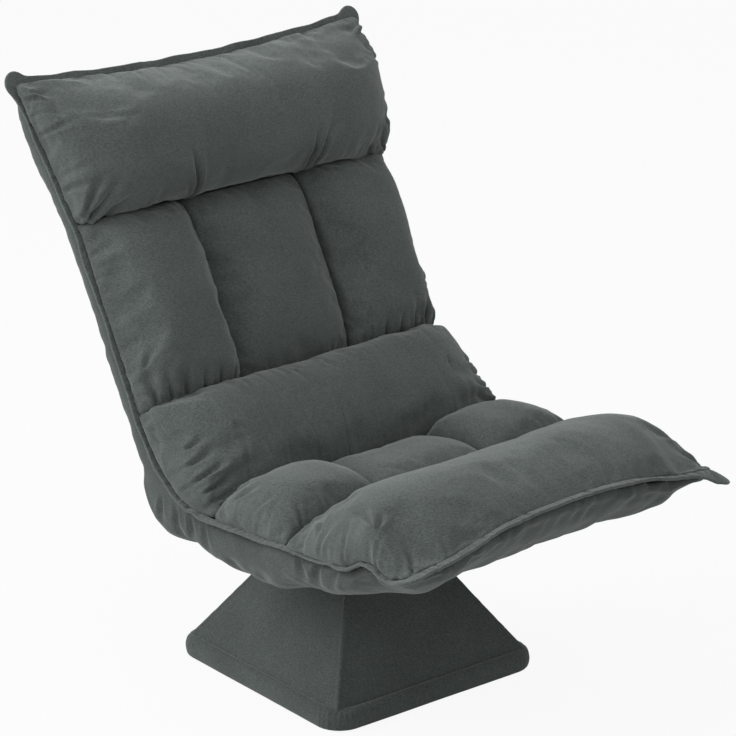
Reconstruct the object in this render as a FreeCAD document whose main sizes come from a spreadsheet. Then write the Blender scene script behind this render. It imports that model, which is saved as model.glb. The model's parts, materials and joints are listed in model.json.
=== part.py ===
import FreeCAD, Part
import os
import re
import Sketcher

# Folding floor chair: a padded seat and back joined by a ratchet hinge, on a swivel over a padded base.
# Row frame: origin at the middle of the base on the floor, which is the swivel axis; the chair faces -Y,
# +X is to the right of someone who looks at its front, +Z is up. Lengths in mm, angles in degrees.

V = FreeCAD.Vector
X_AXIS = V(1, 0, 0)
Z_AXIS = V(0, 0, 1)

SIZES = {
    # base
    "base_side": 350,
    "base_corner_radius": 50,
    "base_turn": 3.8,
    "floor_pad_thickness": 2,
    "floor_pad_inset": 9,
    "plinth_top": 27,
    "plinth_foam": 8,
    "plinth_edge_round": 6,
    "post_foot_half": 159.6,
    "post_head_half": 56.2,
    "post_top": 185,
    "cover_cloth": 1.5,
    "panel_thickness": 6,
    "leg_side": 20,
    "leg_clearance": 2,
    "leg_plate_side": 50,
    "leg_plate_thickness": 3,
    "head_block_thickness": 12,
    "screw_radius": 2.5,
    "screw_length": 18,
    "screw_head_radius": 5,
    "screw_head_height": 2.5,
    "screw_offset": 17,
    # swivel
    "swivel_plate_side": 98,
    "swivel_plate_thickness": 3,
    "race_radius": 33,
    "race_width": 10,
    "race_height": 2.4,
    "ball_radius": 3,
    "ball_clearance": 0.05,
    "ball_count": 12,
    "cage_thickness": 1.1,
    "cage_margin": 1,
    "race_gap": 1.7,
    "rivet_radius": 8,
    "rivet_head_radius": 12,
    "rivet_head_height": 2,
    "rivet_clearance": 0.05,
    "rivet_room": 2,
    "bolt_radius": 3,
    "bolt_offset": 40,
    "bolt_head_radius": 5,
    "bolt_head_height": 2.2,
    "block_screw_depth": 10,
    "nut_height": 5,
    # hinge between the seat and the back
    "pivot_y": 80,
    "pivot_z": 300,
    "seat_tilt": 3.5,
    "back_lean": 26,
    "hinge_plate": 4,
    "hinge_seat_x": 205,
    "hinge_gap": 0.3,
    "hinge_pin_radius": 5,
    "hinge_pin_clearance": 0.05,
    "hinge_pin_head_radius": 9,
    "hinge_pin_head_height": 3,
    "ratchet_radius": 28,
    "ratchet_tooth_depth": 4,
    "ratchet_tooth_count": 14,
    "ratchet_tooth_span": 150,
    "hinge_tail_length": 62,
    "hinge_tail_near": 19.6,
    "hinge_tail_top": 16.8,
    "hinge_tail_rise": 8,
    "arm_length": 92,
    "arm_eye_radius": 16,
    "arm_half_width": 9,
    "arm_neck": 11.2,
    "arm_neck_drop": 8,
    "arm_bend": 36.8,
    "pawl_length": 24,
    "pawl_half_width": 6,
    "pawl_pin_radius": 3,
    "pawl_pin_height": 16.8,
    # steel frames
    "tube_radius": 9.5,
    "tube_wall": 1.5,
    "tube_depth": 12.4,
    "tube_start": 14,
    "seat_tube_reach": 375,
    "seat_tube_bend": 60,
    "back_tube_reach": 500,
    "back_tube_bend": 70,
    "back_cross_height": 250,
    "back_cross_radius": 8,
    "cross_bar_width": 30,
    "cross_bar_thickness": 4,
    "cross_bar_spacing": 60,
    "pedestal_side": 96,
    "pedestal_wall": 2.5,
    "mount_board_side": 130,
    "mount_board_thickness": 11.5,
    "strap_width": 45,
    "strap_thickness": 2,
    "strap_pitch": 72,
    "seat_strap_start": 105,
    "seat_strap_count": 4,
    "back_strap_start": 110,
    "back_strap_count": 5,
    # seat cushions, as lengths from the hinge axis along the seat and heights over it
    "seat_plane": 30.6,
    "seat_half_width": 262,
    "seat_front_half_width": 270,
    "seat_front": 470,
    "seat_front_lift": 35.6,
    "seat_front_bend": 400,
    "channel_half": 100,
    "seat_channel_start": 97,
    "roll_start": 244,
    "seat_side_wall": 27,
    "seat_side_crown": 41,
    "seat_middle_wall": 24,
    "seat_middle_crown": 26,
    "roll_wall": 38,
    "roll_crest": 372,
    "roll_crest_height": 92.6,
    "roll_back_bulge": 14,
    "roll_front_bulge": 18,
    "seat_shell_start": 24,
    "seat_shell_start_height": 22.6,
    "seat_shell_bend": 73,
    # back cushions, as heights along the back from the hinge axis and depths from it
    "back_plane": 14,
    "back_half_width": 257,
    "back_neck_half_width": 264,
    "back_head_half_width": 291,
    "back_top": 546,
    "back_top_dip": 14,
    "back_channel_start": 90,
    "head_start": 352,
    "back_side_wall": 16,
    "back_side_crown": 48,
    "back_middle_wall": 16,
    "back_middle_crown": 34,
    "head_wall": 10,
    "head_crest": 436,
    "head_crest_depth": 86,
    "head_lower_bulge": 24,
    "head_corner": 15,
    "head_upper_bulge": 24,
    "seat_shell_depth": 70,
    "back_shell_depth": 44,
    "shell_side_inset": 48,
    "shell_side_round": 11,
    "shell_spare": 20,
    "back_shell_start": 24,
    "back_shell_start_depth": 10,
    "back_shell_bend": 60,
    # pieces that bend with the hinge
    "lumbar_crown": 42,
    "lumbar_seat_wall": 16,
    "lumbar_back_wall": 12,
    "gusset_bulge": 5,
    # general
    "flange_width": 11,
    "flange_thickness": 2.5,
    "flange_gap": 1.2,
    "flange_cutter_reach": 60,
    "draw_in": 5,
    "soft_gap": 0.3,
    "seam_gap": 1,
}

# Shares of the full height of a cushion across its width: where along the width, and how much of the rise
SIDE_PROFILE = [(0.0, 0.36), (0.28, 0.9), (0.58, 1.0), (0.86, 0.66), (1.0, 0.08)]
MIDDLE_PROFILE = [(-1.0, 0.4), (-0.5, 0.9), (0.0, 1.0), (0.5, 0.9), (1.0, 0.4)]
ROLL_PROFILE = [(-1.0, 0.08), (-0.87, 0.7), (-0.45, 1.0), (0.0, 0.96), (0.45, 1.0), (0.87, 0.7), (1.0, 0.08)]
# The same for the head roll, whose ends rise to the corners of the back: the last number lifts its lower edge
HEAD_PROFILE = [(-1.0, 0.1, 0.66), (-0.93, 0.5, 0.3), (-0.8, 0.85, 0.06), (-0.4, 1.0, 0.0), (0.0, 0.95, 0.0),
                (0.4, 1.0, 0.0), (0.8, 0.85, 0.06), (0.93, 0.5, 0.3), (1.0, 0.1, 0.66)]
GUSSET_PROFILE = [(-1.0, 0.45), (-0.82, 0.95), (0.0, 1.0), (0.82, 0.95), (1.0, 0.45)]
# Shells: how far along the piece, the share of its depth, and the share of its widening
SEAT_SHELL_PROFILE = [(0.0, 0.75, 0.0), (0.18, 0.93, 0.0), (0.37, 1.0, 0.2), (0.61, 0.75, 0.5), (0.78, 0.47, 0.75),
                      (0.93, 0.28, 0.95), (1.0, 0.05, 1.0)]
BACK_SHELL_PROFILE = [(0.0, 0.97, 0.0), (0.3, 1.0, 0.05), (0.57, 1.0, 0.15), (0.72, 0.97, 0.25), (0.86, 0.78, 0.5),
                      (0.96, 0.4, 0.82), (1.0, 0.16, 1.0)]

doc = FreeCAD.newDocument("floor_chair")
sheet = doc.addObject("Spreadsheet::Sheet", "Sizes")
for row, (alias, value) in enumerate(SIZES.items(), start=1):
    sheet.set("A%d" % row, alias)
    sheet.set("B%d" % row, str(value))
    sheet.setAlias("B%d" % row, alias)
doc.recompute()

NODES = []


def bound(text):
    """An expression with each size name pointed at its cell."""
    return re.sub(r"[a-z][a-z_]*", lambda m: "Sizes." + m.group() if m.group() in SIZES else m.group(), text)


def number(text):
    """The present value of an expression."""
    return float(sheet.evalExpression(bound(text)))


def node(thing, label):
    """Names a sub-part and lists it for export."""
    thing.Label = label
    NODES.append(thing)
    return thing


def place(thing, y="0", z="0", axis=X_AXIS, angle="0", x="0"):
    """Puts a sub-part at a point, turned about an axis, both bound to the sheet."""
    thing.Placement = FreeCAD.Placement(V(number(x), number(y), number(z)), FreeCAD.Rotation(axis, 1))
    for part, text in (("Base.x", x), ("Base.y", y), ("Base.z", z), ("Rotation.Angle", angle)):
        thing.setExpression("Placement." + part, bound(text))
    return thing


def onBase(thing, quarter=0):
    """Base pieces stand turned a little under the chair, because it swivels."""
    return place(thing, axis=Z_AXIS, angle="%d - base_turn" % (90 * quarter))


def onSeat(thing):
    """Seat pieces are drawn with the hinge axis as origin, -Y forwards along the seat and +Z off it."""
    return place(thing, "pivot_y", "pivot_z", X_AXIS, "0 - seat_tilt")


def onBack(thing):
    """Back pieces are drawn with the hinge axis as origin, +Z up along the back and -Y out of its front."""
    return place(thing, "pivot_y", "pivot_z", X_AXIS, "0 - back_lean")


def newBody(name):
    return doc.addObject("PartDesign::Body", name)


def newSketch(body, role, offset="0"):
    """A sketch on one of the body's origin planes, moved along that plane's normal."""
    sketch = body.newObject("Sketcher::SketchObject", body.Name + "_sketch")
    plane = [f for f in body.Origin.OriginFeatures if f.Role == role][0]
    sketch.AttachmentSupport = [(plane, "")]
    sketch.MapMode = "FlatFace"
    sketch.setExpression("AttachmentOffset.Base.z", bound(offset))
    return sketch


def fix(sketch, kind, *where, value):
    """One dimension of a sketch, bound to an expression."""
    index = sketch.addConstraint(Sketcher.Constraint(kind, *where, number(value)))
    sketch.setExpression("Constraints[%d]" % index, bound(value))


def outline(sketch, points, bulges=None):
    """A closed wire through points; an edge with a bulge is an arc that stands that far off its chord."""
    bulges = bulges or {}
    count = len(points)
    corners = [V(number(a), number(b), 0) for a, b in points]
    for i in range(count):
        start, end = corners[i], corners[(i + 1) % count]
        if i in bulges:
            along = end - start
            top = (start + end) * 0.5 + V(along.y, -along.x, 0).normalize() * number(bulges[i])
            sketch.addGeometry(Part.Arc(start, top, end), False)
        else:
            sketch.addGeometry(Part.LineSegment(start, end), False)
    ends = []
    for i in range(count):
        forwards = (sketch.getPoint(i, 1) - corners[i]).Length < 1e-6
        ends.append((1, 2) if forwards else (2, 1))
    for i in range(count):
        j = (i + 1) % count
        sketch.addConstraint(Sketcher.Constraint("Coincident", i, ends[i][1], j, ends[j][0]))
    for i, (a, b) in enumerate(points):
        fix(sketch, "DistanceX", -1, 1, i, ends[i][0], value=a)
        fix(sketch, "DistanceY", -1, 1, i, ends[i][0], value=b)
    for i, bulge in bulges.items():
        (a, b), (c, d) = points[i], points[(i + 1) % count]
        radius = "abs((((%s) - (%s))^2 / 4 + ((%s) - (%s))^2 / 4 + (%s)^2) / (2 * (%s)))" % (c, a, d, b, bulge, bulge)
        fix(sketch, "Radius", i, value=radius)


def circle(sketch, radius, x="0", y="0"):
    index = sketch.addGeometry(Part.Circle(V(number(x), number(y), 0), Z_AXIS, number(radius)), False)
    fix(sketch, "DistanceX", -1, 1, index, 3, value=x)
    fix(sketch, "DistanceY", -1, 1, index, 3, value=y)
    fix(sketch, "Radius", index, value=radius)


def rectangle(sketch, left, right, low, high):
    outline(sketch, [(left, low), (right, low), (right, high), (left, high)])


def pad(body, sketch, length):
    feature = body.newObject("PartDesign::Pad", body.Name + "_pad")
    feature.Profile = sketch
    feature.setExpression("Length", bound(length))
    doc.recompute()
    return feature


def pocket(body, sketch, length=None):
    """Cuts a sketch both ways through the body, or one length centred on the sketch."""
    before = body.Shape.Volume
    feature = body.newObject("PartDesign::Pocket", body.Name + "_pocket")
    feature.Profile = sketch
    feature.SideType = "Symmetric"
    if length:
        feature.setExpression("Length", bound(length))
    else:
        feature.Type = "ThroughAll"
    doc.recompute()
    if body.Shape.Volume >= before:
        raise ValueError(body.Name + ": a pocket cut nothing")
    return feature


def loft(body, sketches, ruled=False):
    feature = body.newObject("PartDesign::AdditiveLoft", body.Name + "_loft")
    feature.Profile = sketches[0]
    feature.Sections = sketches[1:]
    feature.Ruled = ruled
    doc.recompute()
    return feature


def box(name, low, high, placer=None):
    """A block between two corners given as expressions."""
    block = doc.addObject("Part::Box", name)
    for side, i in (("Length", 0), ("Width", 1), ("Height", 2)):
        block.setExpression(side, bound("(%s) - (%s)" % (high[i], low[i])))
    if placer is None:
        return place(block, low[1], low[2], Z_AXIS, "0", low[0])
    return placer(block, low)


def turnedBox(angle):
    """A placer for blocks whose low corner is given in a frame turned about the hinge axis."""
    def placer(block, low):
        x, y, z = ("(%s)" % text for text in low)
        c, s = "cos(%s)" % angle, "sin(%s)" % angle
        return place(block, "pivot_y + %s * %s - %s * %s" % (y, c, z, s),
                     "pivot_z + %s * %s + %s * %s" % (y, s, z, c), X_AXIS, angle, x)
    return placer


seatBox = turnedBox("0 - seat_tilt")
backBox = turnedBox("0 - back_lean")


def rod(name, radius, length, x="0", y="0", z="0", along=Z_AXIS):
    """A cylinder from a point along +Z or +X."""
    cylinder = doc.addObject("Part::Cylinder", name)
    cylinder.setExpression("Radius", bound(radius))
    cylinder.setExpression("Height", bound(length))
    if along is X_AXIS:
        return place(cylinder, y, z, V(0, 1, 0), "90", x)
    return place(cylinder, y, z, Z_AXIS, "0", x)


def fuse(name, things):
    joined = doc.addObject("Part::MultiFuse", name)
    joined.Shapes = things
    return joined


def cut(name, thing, tools):
    """The thing less its tools."""
    result = doc.addObject("Part::Cut", name)
    result.Base = thing
    result.Tool = tools[0] if len(tools) == 1 else fuse(name + "_tools", tools)
    return result


def group(name, things):
    """Separate solids that share one node."""
    together = doc.addObject("Part::Compound", name)
    together.Links = things
    return together


SIDES = (("left", -1), ("right", 1))


def span(sign, low, high):
    """A range of x on one side of the chair, low end first."""
    return (low, high) if sign > 0 else ("0 - (%s)" % high, "0 - (%s)" % low)


# Base: rounded plates

def roundedSquare(sketch, half, radius):
    """A square outline with rounded corners, centred on the origin."""
    far, near = "(%s)" % half, "((%s) - (%s))" % (half, radius)
    far_neg, near_neg = "0 - " + far, "0 - " + near
    corner = "(%s) * (1 - cos(45))" % radius
    outline(sketch, [(near, far_neg), (far, near_neg), (far, near), (near, far),
                     (near_neg, far), (far_neg, near), (far_neg, near_neg), (near_neg, far_neg)],
            {0: corner, 2: corner, 4: corner, 6: corner})


def roundedPlate(name, half, low, thickness, radius="base_corner_radius"):
    """A square plate with rounded corners, standing on the height low."""
    body = newBody(name)
    sketch = newSketch(body, "XY_Plane", low)
    roundedSquare(sketch, half, radius)
    pad(body, sketch, thickness)
    return body


def roundEdges(body, radius, chosen):
    """Rounds the edges of a body that the test picks."""
    last = body.Tip
    names = ["Edge%d" % i for i, edge in enumerate(last.Shape.Edges, start=1) if chosen(edge)]
    feature = body.newObject("PartDesign::Fillet", body.Name + "_round")
    feature.Base = (last, names)
    feature.setExpression("Radius", bound(radius))
    doc.recompute()


def corners(offset):
    """The four corners of a square, as expressions."""
    return [(a, b) for a in ("0 - " + offset, offset) for b in ("0 - " + offset, offset)]


pad_half = "base_side / 2 - floor_pad_inset"
node(onBase(roundedPlate("floor_pad_body", pad_half, "0", "floor_pad_thickness")), "floor_pad")

board_half = "base_side / 2 - plinth_foam"
board_rise = "plinth_top - floor_pad_thickness"
board_radius = "base_corner_radius - plinth_foam"
board = onBase(roundedPlate("board_body", board_half, "floor_pad_thickness", board_rise, board_radius))

band = roundedPlate("band_body", "base_side / 2", "floor_pad_thickness", board_rise)
inside = newSketch(band, "XY_Plane", "floor_pad_thickness")
roundedSquare(inside, board_half, board_radius)
pocket(band, inside)


def onOuterEdge(edge):
    """The outline edges of the band, above and below."""
    span_of = edge.BoundBox
    reach = max(abs(v) for v in (span_of.XMax, span_of.XMin, span_of.YMax, span_of.YMin))
    return span_of.ZLength < 1e-6 and reach > number("base_side / 2") - 1e-3


roundEdges(band, "plinth_edge_round", onOuterEdge)
node(onBase(band), "plinth_band")

# Base: the post, four sloped panels mitred at their corners under one cloth cover

slope = "(post_foot_half - post_head_half) / (post_top - plinth_top)"
cover_inner = "cover_cloth"
panel_inner = "(cover_cloth + panel_thickness)"


def slopedPanel(name, outer, inner, quarter):
    """One wall of the post between two insets from its outer face."""
    body = newBody(name)
    levels = []
    for height, half in (("plinth_top", "post_foot_half"), ("post_top", "post_head_half")):
        sketch = newSketch(body, "XY_Plane", height)
        far, near = "(%s - (%s))" % (half, outer), "(%s - (%s))" % (half, inner)
        outline(sketch, [("0 - " + far, "0 - " + far), (far, "0 - " + far),
                         (near, "0 - " + near), ("0 - " + near, "0 - " + near)])
        levels.append(sketch)
    loft(body, levels, ruled=True)
    return onBase(body, quarter)


PANELS = ("front", "right", "rear", "left")
for quarter, side in enumerate(PANELS):
    node(slopedPanel("panel_%s_body" % side, "cover_cloth", panel_inner, quarter), "post_panel_%s" % side)
cover_walls = [slopedPanel("cover_%s" % side, "0", cover_inner, quarter) for quarter, side in enumerate(PANELS)]
node(fuse("cover_fused", cover_walls), "base_cover")

# Base: welded steel legs inside the post, with foot plates screwed to the board

leg_foot = "(post_foot_half - panel_thickness - cover_cloth - leg_clearance - leg_side / 2)"
leg_head = "(post_head_half + %s * head_block_thickness - %s - leg_clearance - leg_side / 2)" % (slope, panel_inner)
plate_spot = "(%s - (leg_plate_side - leg_side) / 2)" % leg_foot


def squareAt(sketch, x, y, half):
    rectangle(sketch, "%s - %s" % (x, half), "%s + %s" % (x, half), "%s - %s" % (y, half), "%s + %s" % (y, half))


legs, plates, screws = [], [], []
for quarter in range(4):
    leg = newBody("leg_%d" % quarter)
    foot = newSketch(leg, "XY_Plane", "plinth_top + leg_plate_thickness")
    squareAt(foot, leg_foot, leg_foot, "leg_side / 2")
    top = newSketch(leg, "XY_Plane", "post_top - head_block_thickness")
    squareAt(top, leg_head, leg_head, "leg_side / 2")
    loft(leg, [foot, top], ruled=True)
    legs.append(onBase(leg, quarter))
    plate = newBody("leg_plate_%d" % quarter)
    flat = newSketch(plate, "XY_Plane", "plinth_top")
    squareAt(flat, plate_spot, plate_spot, "leg_plate_side / 2")
    pad(plate, flat, "leg_plate_thickness")
    holes = newSketch(plate, "XY_Plane", "plinth_top")
    spots = [("%s - screw_offset" % plate_spot, "%s + screw_offset" % plate_spot),
             ("%s + screw_offset" % plate_spot, "%s - screw_offset" % plate_spot)]
    for x, y in spots:
        circle(holes, "screw_radius", x, y)
    pocket(plate, holes)
    plates.append(onBase(plate, quarter))
    for index, (x, y) in enumerate(spots):
        screw = newBody("leg_screw_%d_%d" % (quarter, index))
        shank = newSketch(screw, "XY_Plane", "plinth_top + leg_plate_thickness - screw_length")
        circle(shank, "screw_radius", x, y)
        pad(screw, shank, "screw_length")
        cap = newSketch(screw, "XY_Plane", "plinth_top + leg_plate_thickness")
        circle(cap, "screw_head_radius", x, y)
        pad(screw, cap, "screw_head_height")
        screws.append(onBase(screw, quarter))
node(group("leg_group", legs), "post_legs")
node(group("leg_plate_group", plates), "leg_foot_plates")
node(group("screw_group", screws), "leg_screws")
node(cut("board_drilled", board, [group("screw_tools", screws)]), "base_board")

# Base: the block under the swivel

block_half = "post_head_half - (%s) - soft_gap" % panel_inner
block = newBody("head_block_body")
block_plan = newSketch(block, "XY_Plane", "post_top - head_block_thickness")
squareAt(block_plan, "0", "0", "(%s)" % block_half)
pad(block, block_plan, "head_block_thickness")
block_hole = newSketch(block, "XY_Plane", "post_top - head_block_thickness")
circle(block_hole, "rivet_head_radius + rivet_room")
pocket(block, block_hole)

# Swivel: two pressed plates with ball races, held together by a rivet on the swivel axis

lower_top = "(post_top + swivel_plate_thickness)"
race_top = "(%s + race_height)" % lower_top
ball_level = "(%s + race_gap / 2)" % race_top
upper_race = "(%s + race_gap)" % race_top
upper_low = "(%s + race_height)" % upper_race
upper_top = "(%s + swivel_plate_thickness)" % upper_low


def racePlate(name, low, ring_low, placer):
    """A square plate with a ring on one side and a groove in the ring for the balls."""
    body = newBody(name)
    plan = newSketch(body, "XY_Plane", low)
    squareAt(plan, "0", "0", "swivel_plate_side / 2")
    pad(body, plan, "swivel_plate_thickness")
    ring = newSketch(body, "XY_Plane", ring_low)
    circle(ring, "race_radius + race_width / 2")
    pad(body, ring, "race_height")
    holes = newSketch(body, "XY_Plane", low)
    circle(holes, "rivet_radius + rivet_clearance")
    for x, y in corners("bolt_offset"):
        circle(holes, "bolt_radius", x, y)
    pocket(body, holes)
    before = body.Shape.Volume
    section = newSketch(body, "XZ_Plane")
    circle(section, "ball_radius + ball_clearance", "race_radius", ball_level)
    groove = body.newObject("PartDesign::Groove", name + "_groove")
    groove.Profile = section
    groove.ReferenceAxis = (section, ["V_Axis"])
    groove.Angle = 360
    doc.recompute()
    if body.Shape.Volume >= before:
        raise ValueError(name + ": the race cut nothing")
    return placer(body)


def still(thing):
    """Left in line with the chair."""
    return place(thing)


node(racePlate("lower_plate_body", "post_top", lower_top, onBase), "swivel_lower_plate")
node(racePlate("upper_plate_body", upper_low, upper_race, still), "swivel_upper_plate")

balls = []
for index in range(SIZES["ball_count"]):
    ball = doc.addObject("Part::Sphere", "ball_%d" % index)
    ball.setExpression("Radius", bound("ball_radius"))
    turn = "%d * 360 / ball_count" % index
    place(ball, "race_radius * sin(%s)" % turn, ball_level, Z_AXIS, "0", "race_radius * cos(%s)" % turn)
    balls.append(ball)
node(group("ball_group", balls), "swivel_balls")

cage_low = "(%s - cage_thickness / 2)" % ball_level
cage = newBody("cage_body")
cage_plan = newSketch(cage, "XY_Plane", cage_low)
circle(cage_plan, "race_radius + race_width / 2 - cage_margin")
circle(cage_plan, "race_radius - race_width / 2 + cage_margin")
pad(cage, cage_plan, "cage_thickness")
cage_hole = newSketch(cage, "XY_Plane", cage_low)
circle(cage_hole, "ball_radius + 2 * ball_clearance", "race_radius")
pocket(cage, cage_hole)
around = cage.newObject("PartDesign::PolarPattern", "cage_pattern")
around.Originals = [cage.Tip]
around.Axis = (cage_plan, ["N_Axis"])
around.Angle = 360
around.setExpression("Occurrences", bound("ball_count"))
cage.Tip = around
node(place(cage), "swivel_cage")



def turned(name, stretches, x, y, placer):
    """A stepped round piece along +Z: (low, high, radius)."""
    body = newBody(name)
    for low, high, radius in stretches:
        step = newSketch(body, "XY_Plane", low)
        circle(step, radius, x, y)
        pad(body, step, "(%s) - (%s)" % (high, low))
    return placer(body)


rivet_low = "(post_top - soft_gap - rivet_head_height)"
rivet_steps = ((rivet_low, "post_top - soft_gap", "rivet_head_radius"),
               ("post_top - soft_gap", upper_top, "rivet_radius"),
               (upper_top, upper_top + " + rivet_head_height", "rivet_head_radius"))
node(turned("rivet_body", rivet_steps, "0", "0", still), "swivel_rivet")

screw_point = "(post_top - block_screw_depth)"
block_screws = [turned("block_screw_%d" % i, ((screw_point, lower_top, "bolt_radius"),
                                              (lower_top, lower_top + " + bolt_head_height", "bolt_head_radius")),
                       x, y, onBase) for i, (x, y) in enumerate(corners("bolt_offset"))]
node(group("block_screw_group", block_screws), "swivel_lower_screws")
node(cut("block_drilled", onBase(block), [group("block_screw_tools", block_screws)]), "head_block")

# Seat: board, pedestal and cross bars that carry the frame on the swivel

board_top = "(%s + mount_board_thickness)" % upper_top
mount = newBody("mount_board_body")
mount_plan = newSketch(mount, "XY_Plane", upper_top)
squareAt(mount_plan, "0", "0", "mount_board_side / 2")
pad(mount, mount_plan, "mount_board_thickness")
mount_holes = newSketch(mount, "XY_Plane", upper_top)
circle(mount_holes, "rivet_head_radius + rivet_room")
for x, y in corners("bolt_offset"):
    circle(mount_holes, "bolt_radius", x, y)
pocket(mount, mount_holes)
node(place(mount), "seat_mount_board")

bolt_low = "(%s - bolt_head_height)" % upper_low
bolts = [turned("board_bolt_%d" % i, ((bolt_low, upper_low, "bolt_head_radius"), (upper_low, board_top, "bolt_radius"),
                                      (board_top, board_top + " + nut_height", "bolt_head_radius")),
                x, y, still) for i, (x, y) in enumerate(corners("bolt_offset"))]
node(group("board_bolt_group", bolts), "swivel_upper_bolts")

frame_low = "(0 - seat_plane - tube_depth - tube_radius)"
bar_low = "(%s - cross_bar_thickness)" % frame_low
half_pedestal = "pedestal_side / 2"
outer_tube = box("pedestal_outer", ("0 - " + half_pedestal, "0 - " + half_pedestal, board_top),
                 (half_pedestal, half_pedestal, "pivot_z"))
inner_half = "(pedestal_side / 2 - pedestal_wall)"
inner_tube = box("pedestal_inner", ("0 - " + inner_half, "0 - " + inner_half, board_top),
                 (inner_half, inner_half, "pivot_z"))
above_bars = box("pedestal_trim", ("0 - pedestal_side", "0 - seat_front", bar_low),
                 ("pedestal_side", "seat_shell_bend", "pivot_z"), seatBox)
node(cut("pedestal_cut", outer_tube, [inner_tube, above_bars]), "seat_pedestal")

tube_x = "(hinge_seat_x + hinge_plate + tube_radius)"
bars = []
for name, middle in (("rear", "pivot_y - cross_bar_spacing / 2"), ("front", "pivot_y + cross_bar_spacing / 2")):
    bars.append(box("cross_bar_" + name,
                    ("0 - %s - tube_radius" % tube_x, "0 - (%s) - cross_bar_width / 2" % middle, bar_low),
                    ("%s + tube_radius" % tube_x, "0 - (%s) + cross_bar_width / 2" % middle, frame_low), seatBox))
node(group("cross_bar_group", bars), "seat_cross_bars")

# Frames: one bent steel tube in the seat and one in the back


def bentTube(name, role, level, half, start, reach, bend, up, radius, wall=None):
    """A tube in the shape of a U whose legs start at the hinge; up is 1 or -1, the way the legs run."""
    body = newBody(name)
    path = newSketch(body, role, level)
    far = "%d * (%s)" % (up, reach)
    near = "%d * (%s)" % (up, start)
    turn = "%d * (%s - %s)" % (up, reach, bend)
    inward = "(%s - %s)" % (half, bend)
    points = [(half, near), (half, turn), (inward, far), ("0 - " + inward, far), ("0 - " + half, turn),
              ("0 - " + half, near)]
    spots = [V(number(x), number(y), 0) for x, y in points]
    for i in range(5):
        if i in (1, 3):
            side = 1 if i == 1 else -1
            middle = V(side * number(inward), number(turn), 0)
            top = middle + V(side, up, 0).normalize() * number(bend)
            path.addGeometry(Part.Arc(spots[i], top, spots[i + 1]), False)
        else:
            path.addGeometry(Part.LineSegment(spots[i], spots[i + 1]), False)
    first = [1 if (path.getPoint(i, 1) - spots[i]).Length < 1e-6 else 2 for i in range(5)]
    for i in range(4):
        path.addConstraint(Sketcher.Constraint("Coincident", i, 3 - first[i], i + 1, first[i + 1]))
    for i in range(6):
        line, end = (i, first[i]) if i < 5 else (4, 3 - first[4])
        fix(path, "DistanceX", -1, 1, line, end, value=points[i][0])
        fix(path, "DistanceY", -1, 1, line, end, value=points[i][1])
    for i in (1, 3):
        fix(path, "Radius", i, value=bend)
    if role == "XY_Plane":
        section = newSketch(body, "XZ_Plane", start)
        height = level
    else:
        section = newSketch(body, "XY_Plane", start)
        height = "0 - (%s)" % level
    circle(section, radius, half, height)
    if wall:
        circle(section, "%s - %s" % (radius, wall), half, height)
    pipe = body.newObject("PartDesign::AdditivePipe", name + "_pipe")
    pipe.Profile = section
    pipe.Spine = (path, ["Edge%d" % i for i in range(1, 6)])
    doc.recompute()
    return body


seat_level = "(0 - seat_plane - tube_depth)"
back_level = "(0 - back_plane - tube_depth)"
back_tube_x = "(hinge_seat_x - hinge_gap - hinge_plate - tube_radius)"
seat_tube = bentTube("seat_tube_body", "XY_Plane", seat_level, tube_x, "tube_start", "seat_tube_reach",
                     "seat_tube_bend", -1, "tube_radius", "tube_wall")
node(onSeat(seat_tube), "seat_frame_tube")
seat_tunnel = onSeat(bentTube("seat_tunnel_body", "XY_Plane", seat_level, tube_x, "0", "seat_tube_reach",
                              "seat_tube_bend", -1, "tube_radius + soft_gap"))
back_tube = bentTube("back_tube_body", "XZ_Plane", back_level, back_tube_x, "tube_start", "back_tube_reach",
                     "back_tube_bend", 1, "tube_radius", "tube_wall")
node(onBack(back_tube), "back_frame_tube")
back_tunnel = onBack(bentTube("back_tunnel_body", "XZ_Plane", back_level, back_tube_x, "0", "back_tube_reach",
                              "back_tube_bend", 1, "tube_radius + soft_gap"))


def wideBox(name, half, near, far, low, high, placer):
    """A block right across the chair, in a frame whose second axis runs the other way along the piece."""
    return box(name, ("0 - (%s)" % half, "0 - (%s)" % far, low), (half, "0 - (%s)" % near, high), placer)


def crossRod(name, radius, half):
    """A rod right across the back frame."""
    return rod(name, radius, "2 * (%s)" % half,
               "0 - (%s)" % half,
               "pivot_y + back_cross_height * sin(back_lean) - %s * cos(back_lean)" % back_level,
               "pivot_z + back_cross_height * cos(back_lean) + %s * sin(back_lean)" % back_level, X_AXIS)


node(crossRod("back_cross", "back_cross_radius", back_tube_x + " - tube_radius"), "back_cross_tube")

seat_strap_low = "(%s + tube_radius)" % seat_level
seat_straps = []
for index in range(SIZES["seat_strap_count"]):
    near = "seat_strap_start + %d * strap_pitch" % index
    seat_straps.append(wideBox("seat_strap_%d" % index, tube_x, near, near + " + strap_width", seat_strap_low,
                               seat_strap_low + " + strap_thickness", seatBox))
node(group("seat_strap_group", seat_straps), "seat_webbing")

back_strap_front = "(%s + tube_radius + strap_thickness)" % back_level
back_straps = []
for index in range(SIZES["back_strap_count"]):
    low = "back_strap_start + %d * strap_pitch" % index
    back_straps.append(wideBox("back_strap_%d" % index, back_tube_x, back_strap_front + " - strap_thickness",
                               back_strap_front, low, low + " + strap_width", backBox))
node(group("back_strap_group", back_straps), "back_webbing")

# Hinge: on each side a toothed plate on the seat, an arm with a pawl on the back and a pin through both


arm_x = "(hinge_seat_x - hinge_gap - hinge_plate)"
pin_start = "(%s - hinge_gap - hinge_pin_head_height)" % arm_x
pin_end = "(hinge_seat_x + hinge_plate)"
tooth_angle = "ratchet_tooth_span / (ratchet_tooth_count - 1)"
pawl_low = "(ratchet_radius + soft_gap)"

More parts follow.
